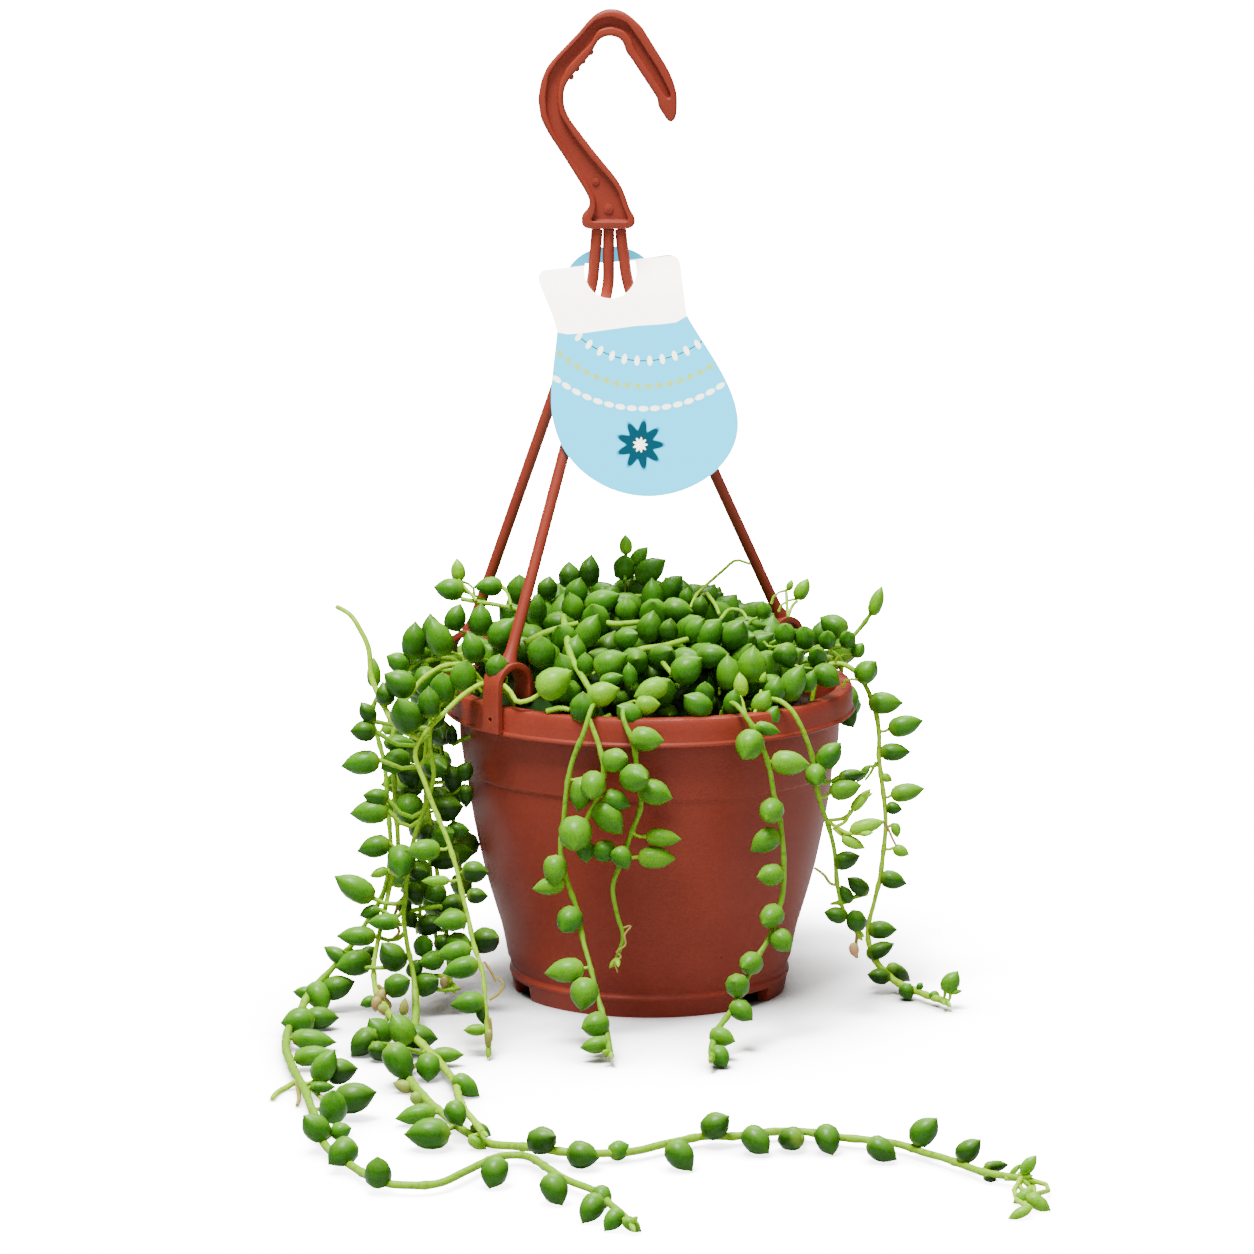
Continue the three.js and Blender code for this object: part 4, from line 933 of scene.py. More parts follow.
def makeLeafTemplate():
    # one pointed drop of unit width and length, with its own rise from stalk to tip and its window stripe
    sides = leafShape["sides"]
    vertices, faces, rise, window = [], [], [], []
    for radius, t in leafShape["profile"][:-1]:
        for i in range(sides):
            turn = 2 * math.pi * i / sides
            vertices.append((radius * math.cos(turn), radius * math.sin(turn), t))
            rise.append(t)
            window.append(0.6 if i == 0 and 0.15 < t < 0.92 else 0.0)
    vertices.append((0, 0, 1))
    rise.append(1)
    window.append(0)
    rings = len(leafShape["profile"]) - 1
    for ring in range(rings - 1):
        for i in range(sides):
            j = (i + 1) % sides
            faces.append([ring * sides + i, ring * sides + j, (ring + 1) * sides + j, (ring + 1) * sides + i])
    last = (rings - 1) * sides
    faces += [[last + i, last + (i + 1) % sides, len(vertices) - 1] for i in range(sides)]
    faces.append(list(reversed(range(sides))))
    mesh = bpy.data.meshes.new("leafTemplate")
    mesh.from_pydata(vertices, [], faces)
    for name, values in (("rise", rise), ("window", window)):
        mesh.attributes.new(name, "FLOAT", "POINT").data.foreach_set("value", values)
    return bpy.data.objects.new("leafTemplate", mesh)


def makeGrowthTree():
    # stems and stalks follow the edges of the sketch mesh, and leaves sit on its loose points
    tree, given = newTree("strandGrowth", {
        "Leaf": "Object", "Stem sides": "Int", "Leaf scale": "Float", "Stem scale": "Float",
        "Leaf skin": "Material", "Stem bark": "Material"})
    thickness, isLeaf, heading, leafSize, roll = (
        addNode(tree, "GeometryNodeInputNamedAttribute", {"data_type": sketchKinds[name]}, {"Name": name})
        for name in ("thickness", "isLeaf", "heading", "leafSize", "roll"))
    lines = addNode(tree, "GeometryNodeMeshToCurve", inputs={"Mesh": given["Geometry"]})
    radius = addNode(tree, "ShaderNodeMath", {"operation": "MULTIPLY"}, {
        0: thickness.outputs["Attribute"], 1: given["Stem scale"]})
    ring = addNode(tree, "GeometryNodeCurvePrimitiveCircle", {"mode": "RADIUS"}, {
        "Resolution": given["Stem sides"], "Radius": 1.0})
    stems = addNode(tree, "GeometryNodeCurveToMesh", inputs={
        "Curve": lines.outputs["Curve"], "Profile Curve": ring.outputs["Curve"], "Scale": radius.outputs[0],
        "Fill Caps": True})
    barked = addNode(tree, "GeometryNodeSetMaterial", inputs={
        "Geometry": stems.outputs["Mesh"], "Material": given["Stem bark"]})
    leaf = addNode(tree, "GeometryNodeObjectInfo", inputs={"Object": given["Leaf"]})
    aimed = addNode(tree, "FunctionNodeAlignRotationToVector", {"axis": "Z"}, {
        "Vector": heading.outputs["Attribute"]})
    rolled = addNode(tree, "FunctionNodeAxisAngleToRotation", inputs={
        "Axis": (0, 0, 1), "Angle": roll.outputs["Attribute"]})
    spin = addNode(tree, "FunctionNodeRotateRotation", {"rotation_space": "LOCAL"}, {
        "Rotation": aimed.outputs["Rotation"], "Rotate By": rolled.outputs["Rotation"]})
    size = addNode(tree, "ShaderNodeVectorMath", {"operation": "SCALE"}, {
        "Vector": leafSize.outputs["Attribute"], "Scale": given["Leaf scale"]})
    leaves = addNode(tree, "GeometryNodeInstanceOnPoints", inputs={
        "Points": given["Geometry"], "Selection": isLeaf.outputs["Attribute"],
        "Instance": leaf.outputs["Geometry"],
        "Rotation": spin.outputs["Rotation"], "Scale": size.outputs["Vector"]})
    real = addNode(tree, "GeometryNodeRealizeInstances", inputs={"Geometry": leaves.outputs["Instances"]})
    skinned = addNode(tree, "GeometryNodeSetMaterial", inputs={
        "Geometry": real.outputs["Geometry"], "Material": given["Leaf skin"]})
    both = addNode(tree, "GeometryNodeJoinGeometry")
    tree.links.new(barked.outputs["Geometry"], both.inputs["Geometry"])
    tree.links.new(skinned.outputs["Geometry"], both.inputs["Geometry"])
    addNode(tree, "NodeGroupOutput", inputs={"Geometry": both.outputs["Geometry"]})
    return tree


class Sketch:
    # the points and edges that one growth is made from, with what each carries
    def __init__(self):
        self.vertices, self.edges = [], []
        self.values = {name: [] for name in sketchKinds}

    def point(self, place, **values):
        self.vertices.append(tuple(c * mm for c in place))
        blank = {"thickness": 0.0, "tint": 0.4, "dry": 0.0, "roll": 0.0, "isLeaf": False,
                 "heading": (0, 0, 1), "leafSize": (0, 0, 0)}
        for name, value in {**blank, **values}.items():
            self.values[name].append(value)

    def line(self, path, radii, tint=0.5, dry=0.0):
        first = len(self.vertices)
        for place, radius in zip(path, radii):
            self.point(place, thickness=radius * mm, tint=tint, dry=dry)
        self.edges += [(first + i, first + i + 1) for i in range(len(path) - 1)]

    def leaf(self, foot, heading, width, length, tint, dry=0.0, roll=0.0):
        self.point(foot, isLeaf=True, heading=tuple(heading), leafSize=(width * mm, width * mm, length * mm),
                   tint=tint, dry=dry, roll=roll)

    def grow(self, name):
        mesh = bpy.data.meshes.new(name)
        mesh.from_pydata(self.vertices, self.edges, [])
        for key, kind in sketchKinds.items():
            field = "vector" if kind == "FLOAT_VECTOR" else "value"
            layer = mesh.attributes.new(key, kind, "POINT")
            layer.data.foreach_set(field, np.array(self.values[key]).ravel())
        piece = bpy.data.objects.new(name, mesh)
        bpy.context.scene.collection.objects.link(piece)
        growWith(piece, growthTree, {
            "Leaf": leafTemplate, "Stem sides": stemShape["sides"], "Leaf scale": 1.0, "Stem scale": 1.0,
            "Leaf skin": leafSkin, "Stem bark": stemBark})
        piece.data.shade_smooth()
        return piece


leafTemplate = makeLeafTemplate()
growthTree = makeGrowthTree()

# Each strand as in the solids: its points, and one letter for every 6 mm of stem.
strands = [
  {
    "name": "strand_front_left", "seed": 11, "width": 7.8,
    "routes": [
      {
        "points": [
          (-15.8, -48.5, 81), (-15.8, -48.5, 88), (-16, -51, 98), (-17, -58, 100.5), (-18, -64, 100),
          (-20, -66.5, 94), (-23, -66, 86), (-25, -66, 76), (-26, -66, 67), (-27, -66, 58), (-25, -66, 49),
          (-22, -68, 40), (-20, -73, 31), (-17, -79, 21), (-15, -84, 14), (-13, -91, 8), (-12, -99, 4),
        ],
        "chart": "....f..r.r..ll.l.l.llll",
      },
      {
        "points": [
          (-18.5, -65, 98), (-15, -68, 89), (-14, -68, 81), (-16, -69, 74), (-19, -68, 67), (-20, -66.5, 60),
        ],
        "chart": "..flrfr",
      },
    ],
  },
  {
    "name": "strand_front_middle", "seed": 12, "width": 7.8,
    "routes": [{
      "points": [
        (-6, -50.6, 81), (-6, -50.6, 88), (-7, -53, 98), (-8, -60, 100.5), (-8, -65, 97.5), (-5, -67, 90),
        (-3.5, -67, 80), (-3, -67, 72), (-5, -67, 65), (-8, -66, 56), (-11, -66, 47), (-10, -66, 38),
        (-8, -66, 31), (-10, -65, 24),
      ],
      "chart": "....f.rlrrlrlr",
    }],
  },
  {
    "name": "strand_front_right", "seed": 13, "width": 7.4,
    "routes": [{
      "points": [
        (21.5, -46, 81), (21.5, -46, 88), (22.5, -49, 98), (25, -55, 100.5), (28, -60, 98.5), (32, -61.5, 92),
        (35, -61, 84), (37, -61, 74), (39, -62, 66), (40, -63, 57), (40, -63, 48), (39, -64, 41),
        (36, -68, 32), (32, -72, 26), (28, -78, 19), (24, -84, 13), (20, -90, 9), (18, -98, 5), (18, -106, 4),
      ],
      "chart": "......rlr.ll.l.lr.llr.rr",
    }],
  },
  {
    "name": "strand_right_inner", "seed": 14, "width": 7.4,
    "routes": [
      {
        "points": [
          (31.5, -40, 81), (31.5, -40, 88), (33.5, -43, 98), (38, -49, 100.5), (43, -53, 97.5), (47, -53, 89),
          (49, -51, 82), (51, -50, 71), (54, -48, 61), (56, -46, 52), (57, -44, 42), (59, -42, 34),
          (63, -41, 27),
        ],
        "chart": "........rfr.r..r.lr",
      },
      {
        "points": [(53.5, -48.5, 63), (59, -49, 64), (62, -50, 68), (64, -50, 71)],
        "chart": ".r.r", "young": True,
      },
      {
        "points": [(53.5, -48.5, 63), (59, -51, 60), (64, -53, 60)],
        "chart": ".l.r", "young": True,
      },
    ],
  },
  {
    "name": "strand_right_outer", "seed": 15, "width": 7.2,
    "routes": [{
      "points": [
        (50, -6, 81), (50, -6, 88), (52, -5, 98), (56, -4, 103), (62, -4.5, 102), (67, -6, 96), (70, -8, 89),
        (71, -9, 82), (71, -9, 74), (72, -9, 66), (73, -9, 58), (73, -9, 48), (72, -9, 39), (70, -9, 29),
        (68, -9, 20), (69, -10, 13), (72, -11, 8), (77, -14, 4), (84, -23, 3), (91, -33, 3),
      ],
      "chart": ".....r.rr.rrr..rrl.rrlrlrlr",
    }],
  },
  {
    "name": "strand_right_runner", "seed": 16, "width": 7.4,
    "routes": [{
      "points": [
        (44, 6, 81), (44, 6, 88), (44.5, 5, 98), (47, 4, 104.5), (53, 3, 107), (60, 3, 107.5), (65, 4, 112),
        (69, 4, 118), (72, 5, 123),
      ],
      "chart": "...lfrfbf", "bare": True,
    }],
  },
  {
    "name": "strand_left_pale", "seed": 17, "width": 7.6,
    "routes": [
      {
        "points": [
          (-39.5, -32, 81), (-39.5, -32, 88), (-43, -35, 99), (-49, -40, 104), (-57, -47, 101),
          (-64, -53, 95), (-69, -57, 90), (-70.5, -58, 85), (-68, -60, 78), (-64, -63, 68), (-61, -66, 61),
          (-58, -70, 53), (-55, -75, 42), (-53, -79, 33), (-50, -84, 25), (-49, -88, 16), (-48.5, -89.5, 9),
          (-48, -92, 4),
        ],
        "chart": "..............l.l.l.llrl",
      },
      {
        "points": [
          (-69, -57, 90), (-76, -53, 93), (-81, -49, 100), (-84, -46, 106), (-85, -44, 115), (-88, -42, 121),
          (-91, -40, 125), (-95, -38, 127),
        ],
        "chart": "..bf", "thick": 1.25, "bare": True,
      },
    ],
  },
  {
    "name": "strand_left_loop", "seed": 18, "width": 8,
    "routes": [{
      "points": [
        (-50.5, -9, 81), (-50.5, -9, 88), (-54, -10, 99), (-62, -11, 106), (-73, -13, 104), (-82, -14, 97),
        (-86, -14, 89), (-84, -14, 82), (-82, -16, 74), (-81, -18, 65), (-80, -22, 54), (-80, -26, 45),
        (-82, -30, 36), (-87, -33, 28), (-92, -33, 20), (-98, -33, 13), (-104, -36, 7), (-107, -50, 3),
        (-109, -72, 3), (-108, -92, 3), (-105, -112, 3), (-101, -131, 3), (-96, -161, 3), (-92, -190, 3),
        (-83, -214, 3), (-74, -231, 3), (-66, -235, 3), (-57, -232, 3), (-50, -220, 3), (-43, -207, 3),
        (-34, -207, 3), (-25, -227, 3), (-16, -239, 3), (-11, -253, 3), (-6, -270, 3),
      ],
      "chart": ".....fblrfl.l.b.l.f.l.r.lr.rr.rl.rr.rf.rl.rrf..r.l.f......l...l....r..lrl",
    }],
  },
  {
    "name": "strand_left_fork", "seed": 19, "width": 8,
    "routes": [{
      "points": [
        (-46.5, -21.5, 81), (-46.5, -21.5, 88), (-50, -23, 99), (-58, -26, 107), (-68, -29, 104),
        (-76, -31, 94), (-78.5, -32, 83), (-78, -32, 73), (-78, -33, 66), (-77, -35, 57), (-77, -37, 50),
        (-79, -40, 42), (-81, -44, 33), (-83, -48, 24), (-84, -51, 17), (-83, -55, 11), (-79, -63, 7),
        (-74, -80, 6.6), (-67, -95, 5), (-62, -107, 3), (-57, -128, 3), (-55, -150, 4), (-52, -174, 6.6),
        (-47, -193, 6),
      ],
      "chart": ".....flrflfr.f.r..f....lfr.rl.lr.lr..r..l...r..f",
    }],
  },
  {
    "name": "strand_left_floor", "seed": 20, "width": 8,
    "routes": [{
      "points": [
        (-43.5, -27, 81), (-43.5, -27, 88), (-47, -29, 98), (-54, -33, 103), (-61, -37, 100), (-66, -39, 93),
        (-67, -39, 84), (-66, -40, 75), (-68, -42, 67), (-72, -43, 56), (-74, -44, 44), (-75, -45, 33),
        (-74, -46, 24), (-72, -49, 14), (-71, -60, 4), (-72, -78, 1.6), (-72, -100, 1.8), (-70, -125, 3),
        (-64, -148, 3), (-55, -170, 1.6), (-46, -188, 1.6), (-34, -197, 3), (-20, -203, 3), (-6, -201, 3),
        (4, -194, 3), (14, -186, 3), (24, -185, 3), (34, -181, 3), (44, -182, 3), (55, -188, 3),
        (67, -193, 3), (76, -203, 3), (84, -213, 3), (91, -222, 3), (100, -227, 3),
      ],
      "chart": ".....l..l.f.l..r.l..f.l..........l.ll.l.f....l..l.r..l...r.l.r.l.l..r..r.r.lrlr",
    }],
  },
  {
    "name": "strand_left_inner_1", "seed": 21, "width": 7.8,
    "routes": [{
      "points": [
        (-51, -1, 81), (-51, -1, 88), (-55, -1, 99), (-62, -2, 100.5), (-69, -2, 97.5), (-71, -3, 85),
        (-70, -5, 70), (-69, -8, 55), (-68, -10, 40), (-67, -12, 26), (-66, -14, 13),
      ],
      "chart": "....l.r.fl..r.l..rl",
    }],
  },
  {
    "name": "strand_left_inner_2", "seed": 22, "width": 7.8,
    "routes": [{
      "points": [
        (-50, 6.5, 81), (-50, 6.5, 88), (-54, 7, 98), (-60, 8, 100.5), (-66, 8.5, 96.5), (-66.5, 8, 85),
        (-64, 5, 68), (-61, 1, 52), (-59, -2, 36), (-58, -4, 22),
      ],
      "chart": ".....f..rf.l..rfl",
    }],
  },
  {
    "name": "strand_left_inner_3", "seed": 23, "width": 7.8,
    "routes": [{
      "points": [
        (-45, 23, 81), (-45, 23, 88), (-49, 25, 98), (-56, 28.5, 100.5), (-63, 31, 97.5), (-67, 32, 86),
        (-69, 31, 72), (-70, 28, 56), (-71, 25, 42), (-72, 21, 28), (-73, 18, 15),
      ],
      "chart": "....f.l.fr.l..rl.fr",
    }],
  },
  {
    "name": "strand_left_inner_4", "seed": 24, "width": 7.8,
    "routes": [{
      "points": [
        (-48.5, -15.5, 81), (-48.5, -15.5, 88), (-52, -16.5, 97), (-58, -18.5, 100.5), (-64.5, -21, 96.5),
        (-67.5, -22.5, 87), (-69, -24, 76), (-68, -27, 62), (-66, -30, 48), (-64, -33, 34), (-62, -36, 21),
        (-61, -39, 10),
      ],
      "chart": ".......f.r..lr.f..rf",
    }],
  },
  {
    "name": "strand_back_1", "seed": 31, "width": 7.8,
    "routes": [{
      "points": [
        (45, 23, 81), (45, 23, 88), (49, 25.5, 98), (56, 29, 100.5), (61, 33, 96.5), (59, 40, 84),
        (51, 47, 67), (45, 50, 49), (42, 48, 33),
      ],
      "chart": "....f.rl..f.r.fl",
    }],
  },
  {
    "name": "strand_back_2", "seed": 32, "width": 7.8,
    "routes": [{
      "points": [
        (24, 45, 81), (24, 45, 88), (26, 49, 98), (29, 55.5, 100.5), (32, 61.5, 96.5), (33, 63.5, 84),
        (33, 63, 66), (32, 61, 48), (31, 59, 30), (31, 61, 15), (33, 69, 5), (36, 80, 3), (40, 92, 3),
      ],
      "chart": "....f..r.fl.r..l.r.f.l.r",
    }],
  },
  {
    "name": "strand_back_3", "seed": 33, "width": 7.8,
    "routes": [{
      "points": [
        (5, 50.7, 81), (5, 50.7, 88), (5.5, 54.5, 98), (6, 61, 100.5), (7, 67.5, 96.5), (8, 69.5, 83),
        (8, 68.5, 65), (7, 66, 47),
      ],
      "chart": "....fr.lf.r.lf",
    }],
  },
  {
    "name": "strand_back_4", "seed": 34, "width": 7.8,
    "routes": [{
      "points": [
        (-12.5, 49.5, 81), (-12.5, 49.5, 88), (-13, 53, 98), (-15, 60, 100.5), (-17, 66.5, 96.5),
        (-18, 68.5, 83), (-18, 67.5, 64), (-17, 65.5, 44), (-16, 64, 26), (-17, 66, 11), (-20, 76, 3),
        (-26, 88, 3), (-34, 97, 3),
      ],
      "chart": "....l..r.fl.r.l..r.l.f.r",
    }],
  },
  {
    "name": "strand_back_5", "seed": 35, "width": 7.8,
    "routes": [{
      "points": [
        (-30, 41, 81), (-30, 41, 88), (-32, 44.5, 98), (-36.5, 50.5, 100.5), (-41, 56.5, 96.5), (-43, 59, 84),
        (-43, 58, 66), (-42, 56.5, 50),
      ],
      "chart": "....f.rl.f.lr",
    }],
  },
]


# Leaves that the camera sees well, in mm on the plane through the pot's axis: across, up, where the tip
# points in degrees, width, length, how much it points at the viewer, and how light it is, which is the leaf's
# own tone and, for leaves that hang in shadow, painted shade.
seenLeaves = {
    "strand_right_runner": [(70.4, 122, 72, 4.3, 8.9, 0, 0.7)],
    "strand_right_outer": [
        (67.5, 100, 50, 6.8, 8.1, 0.3, 0.35), (73.2, 89.9, 0, 6.8, 9.9, 0, 0.45),
        (79.5, 82.9, 15, 6.5, 10.2, 0, 0.4), (76.4, 74.4, 0, 5.6, 8.7, 0, 0.25),
        (74, 66.1, -30, 2.8, 3.4, 0, 0.8), (80.3, 61.6, 12, 5.6, 9.9, 0, 0.6),
        (76.3, 56.5, -10, 4, 4.7, 0.2, 0.2), (77, 49.5, -80, 3.1, 4.3, 0.2, 0.7),
        (78.6, 42.8, -25, 3.7, 5, 0, 0.8), (76.2, 33.5, -15, 5.6, 7.8, 0.1, 0.2),
        (72.9, 17.5, 0, 5.6, 8.4, 0, 0.2), (72.3, 11, 25, 5, 8.7, 0, 0.15),
        (78.3, 3.6, -40, 4.7, 8.7, -0.4, 0.1), (72.1, 2.6, 170, 5, 6.8, 0.2, 0.1),
        (80.9, -2.5, -60, 4.7, 5, 0.6, 0.25), (85, -0.6, 60, 2.2, 2.5, 0.2, 0.3),
        (89.7, -4.1, -45, 3.4, 3.7, 0.5, 0.4), (94.7, 0.7, 60, 5.6, 7.4, 0.1, 0.5),
        (96.3, -2.5, 10, 1.6, 3.7, 0, 0.75), (92.6, -6.1, -20, 1.2, 2.8, 0, 0.75),
        (66.5, 67.4, -125, 2.5, 8.1, 0, 0.5),
    ],
    "strand_right_inner": [
        (56.2, 73.4, 50, 6.8, 9.3, 0.1, 0.35), (51.9, 66.7, -90, 6.5, 7.1, 0.85, 0.5),
        (63.1, 67, 5, 4, 8.1, -0.2, 0.1), (61, 62.6, 15, 6.5, 9.3, 0.1, 0.55),
        (66, 59.1, 50, 3.4, 8.4, 0, 0.9), (67.9, 50.8, 15, 4.7, 10.5, 0, 0.85),
        (63.6, 45.4, -25, 3.7, 7.4, 0, 0.85), (61.7, 39.9, 20, 5.6, 7.8, 0.1, 0.15),
        (65.3, 31.6, 140, 5, 7.8, 0.1, 0.15), (61.5, 29, 120, 3.7, 6.2, 0.2, 0.25),
        (58.4, 22.3, 165, 5, 6.8, 0.1, 0.2), (64.7, 20.7, 110, 6.2, 7.1, 0.4, 0.2),
    ],
    "strand_front_right": [
        (36.6, 81.7, -15, 4, 7.4, 0, 0.35), (31, 76.3, -120, 8.7, 9.3, 0.7, 0.5),
        (43.8, 70.9, -5, 7.4, 11.2, 0.1, 0.6), (37.9, 55.3, -130, 7.4, 8.1, 0.85, 0.5),
        (36.1, 46, 215, 7.1, 9.6, 0.1, 0.45), (37.7, 35.1, 185, 6.8, 7.8, 0.4, 0.5),
        (38.1, 21.6, -150, 7.1, 7.8, 0.8, 0.45), (41.6, 13.9, -45, 6.8, 7.4, 0.6, 0.45),
        (31.6, 6.5, 190, 7.1, 7.4, 0.8, 0.45), (27.5, -0.3, 120, 7.4, 7.8, 0.85, 0.4),
        (29.1, -8.7, -35, 6.5, 7.8, 0.5, 0.4), (22.9, -17.1, -15, 5.9, 7.8, 0.3, 0.5),
        (22.3, -23.6, -50, 6.2, 6.8, 0.6, 0.35),
    ],
    "strand_front_left": [
        (-21.3, 61, -100, 7.1, 9.9, 0.1, 0.45), (-17.6, 63.5, -100, 7.8, 8.4, 0.8, 0.5),
        (-10.4, 71.8, 20, 7.4, 8.1, 0.6, 0.5), (-10.4, 58.8, -20, 6.5, 8.4, 0.1, 0.3),
        (-12.6, 53.3, -50, 8.4, 11.2, 0.2, 0.45), (-23.2, 47.9, -95, 10.2, 10.5, 0.8, 0.5),
        (-20.1, 42.8, -80, 5.6, 6.8, 0.1, 0.3), (-14.5, 42.8, 180, 6.8, 7.4, 0.2, 0.3),
        (-29.5, 36.7, -90, 7.4, 8.7, 0.4, 0.5), (-31.4, 31.6, 190, 5.6, 9.3, 0.1, 0.6),
        (-25.2, 20.4, -130, 7.8, 8.4, 0.75, 0.35), (-26.4, 4.3, 188, 7.4, 11.5, 0, 0.55),
        (-20.5, -3.2, -100, 8.7, 9.6, 0.5, 0.5), (-17.1, -13.2, 185, 7.8, 8.4, 0.5, 0.45),
        (-17.1, -19.7, 190, 5.3, 8.4, 0.1, 0.5), (-13.9, -21, -80, 3.1, 5, 0.2, 0.9),
    ],
    "strand_front_middle": [
        (-8.6, 40.6, -60, 6.2, 7.1, 0.3, 0.4), (-0.8, 78.5, -5, 7.4, 9.6, 0.2, 0.5),
        (-4.2, 66.1, 10, 8.7, 9.3, 0.8, 0.4), (2, 61.3, -15, 7.8, 9.6, 0.3, 0.45),
        (4.2, 47, -5, 5.6, 10.2, 0, 0.6), (2.1, 40.6, -3, 6.8, 10.8, 0, 0.6),
    ],
    "strand_left_floor": [
        (-87.8, 87, 120, 5, 6.8, 0.1, 0.2), (-89.1, 81, 178, 6.5, 7.4, 0.2, 0.2),
        (-89.8, 70.9, 190, 7.4, 11.2, 0, 0.45), (-85.3, 60, 170, 5.6, 7.4, 0.1, 0.3),
        (-87.2, 55.3, 185, 7.4, 11.2, 0, 0.5), (-86, 44.1, 195, 6.8, 9.6, 0, 0.35),
        (-84.5, 35.8, 200, 3.1, 5.6, 0.1, 0.9), (-92.1, 31, 150, 7.8, 13, 0, 0.5),
        (-87.5, 23.2, 200, 4.3, 6.2, 0, 0.35), (-83.1, 20, 180, 5.3, 9.3, 0.1, 0.45),
        (-91.6, 15.5, 180, 6.2, 11.2, 0, 0.5), (-60.9, -42.1, -60, 6.8, 7.8, 0.6, 0.4),
        (-73.5, -42.4, 190, 6.2, 11.8, 0.1, 0.5), (-69.8, -48.6, 180, 9.6, 13, 0.1, 0.35),
        (-53.1, -47.6, -30, 4.7, 6.8, -0.3, 0.3), (-33.5, -50.6, 30, 8.7, 9.6, 0.6, 0.2),
        (-20.9, -55.5, -5, 8.7, 9.6, 0.4, 0.25), (-9.5, -53.8, 20, 6.2, 6.5, -0.5, 0.45),
        (10, -55.8, -50, 8.4, 10.2, 0.4, 0.3), (21.1, -45.7, 40, 8.4, 9.6, 0.3, 0.25),
        (34, -50.9, -40, 8.1, 9.6, 0.6, 0.3), (44.4, -50.2, 200, 7.4, 8.4, -0.6, 0.2),
        (56.4, -50.6, -70, 7.8, 9, 0.7, 0.25), (73.5, -53.8, -30, 7.4, 9.6, 0.4, 0.25),
        (87, -47.6, 50, 8.1, 10.5, 0.2, 0.35), (101, -53.8, 45, 6.8, 9, 0.2, 0.2),
        (109.5, -59.1, 0, 3.7, 7.4, -0.3, 0.12), (107.7, -63, -20, 2.8, 4.3, 0, 0.12),
        (120, -58.7, 55, 4.3, 7.1, 0.1, 0.8), (115.6, -60.4, 50, 1.9, 5, 0, 0.9),
        (118.2, -69.2, 230, 4, 6.5, 0.1, 0.8), (117.3, -74.5, 240, 3.4, 7.4, 0.1, 0.88),
        (123.3, -71.2, -50, 4.7, 7.8, 0.1, 0.82),
    ],
    "strand_left_fork": [
        (-61.5, 79.8, 90, 3.7, 6.2, 0, 0.1), (-78, 77.2, 0, 5, 9.3, 0.1, 0.35),
        (-79.3, 71.2, 200, 7.4, 9, 0.6, 0.45), (-74.6, 66.7, -60, 6.8, 7.4, 0.3, 0.12),
        (-74.3, 61.6, 0, 3.4, 6.2, 0, 0.15), (-75, 55.9, -90, 8.7, 9.3, 0.75, 0.45),
        (-77.6, 39.3, -90, 8.7, 9.6, 0.75, 0.45), (-72.3, 36.4, 0, 5.3, 5.9, 0.5, 0.15),
        (-73.6, 29.3, -80, 5.6, 6.2, 0.4, 0.15), (-80.7, 9.1, 125, 8.1, 9.9, 0.2, 0.2),
        (-85, -15.1, 125, 8.1, 9.3, 0.2, 0.4), (-78, -14.5, 120, 8.1, 10.2, 0.1, 0.6),
        (-90, -19, -110, 7.4, 9.9, 0.2, 0.2), (-85.3, -21.9, -60, 5.6, 6.2, 0.2, 0.15),
        (-71.8, -17.1, -5, 7.4, 9.6, 0.1, 0.25), (-78.7, -25.2, -60, 8.7, 11.8, 0.2, 0.4),
        (-69.6, -27.1, -90, 7.4, 8.7, 0.2, 0.4), (-63.6, -22.9, 0, 5, 9.3, 0, 0.6),
        (-57.7, -33, -50, 6.2, 9.3, 0.1, 0.45), (-54.3, -51.5, -50, 4, 6.2, 0.1, 0.85),
        (-78.9, -0.3, 30, 7.4, 8.4, 0.4, 0.35), (-88.3, -5.8, 200, 3.7, 5, 0.2, 0.4),
    ],
    "strand_left_pale": [
        (-76, 86.1, 112, 9.3, 11.5, 0.4, 0.3), (-77.8, 96.2, 145, 8.4, 9.9, 0.2, 0.35),
        (-82.2, 92.7, 100, 5.6, 7.1, 0, 0.2), (-68.6, 90.1, 90, 7, 9.3, 0.2, 0.3),
        (-70.7, 43.1, 180, 6.5, 10.2, 0.2, 0.55), (-66.7, 33.2, 180, 3.4, 8.1, 0.1, 0.8),
        (-62.1, 20.4, 185, 6.2, 9.6, 0.1, 0.5), (-61.2, 10.4, 190, 6.2, 10.2, 0.1, 0.5),
        (-59.1, 5.2, 195, 6.8, 10.5, 0.1, 0.45), (-56.9, -6.1, 185, 6.8, 9.9, 0.1, 0.4),
        (-52.6, -9.6, -80, 3.7, 6.2, 0.1, 0.2), (-54.8, -14.8, 180, 3.7, 6.5, 0.1, 0.8),
        (-54.5, 36.1, 0, 6.8, 7.8, 0.3, 0.15), (-53.9, 28.4, 0, 5, 6.2, 0.1, 0.12),
    ],
    "strand_left_inner_4": [
        (-70.9, 12.6, 90, 6.2, 7.1, 0.5, 0.4), (-67.1, 29.3, 200, 6.2, 6.8, 0.4, 0.3),
        (-69.8, 0.1, 30, 7.4, 8.4, 0.5, 0.3), (-73.5, 5.2, 60, 5, 6.2, 0.3, 0.35),
        (-50.9, 14.2, 20, 8.1, 8.4, 0.6, 0.1), (-59.8, 49.5, 0, 5, 6.8, 0.2, 0.35),
        (-69.1, 48.2, 90, 5.6, 6.8, 0.3, 0.12), (-62.8, 56.5, 10, 8.1, 8.4, 0.3, 0.12),
        (-61.5, 65.8, -90, 6.8, 7.8, 0.3, 0.12), (-57.5, 68.3, 60, 5.3, 6.2, 0.2, 0.2),
        (-57.2, 60.4, -90, 4.3, 6.8, 0.1, 0.2), (-63.9, 39.9, 200, 6.2, 8.7, 0.1, 0.12),
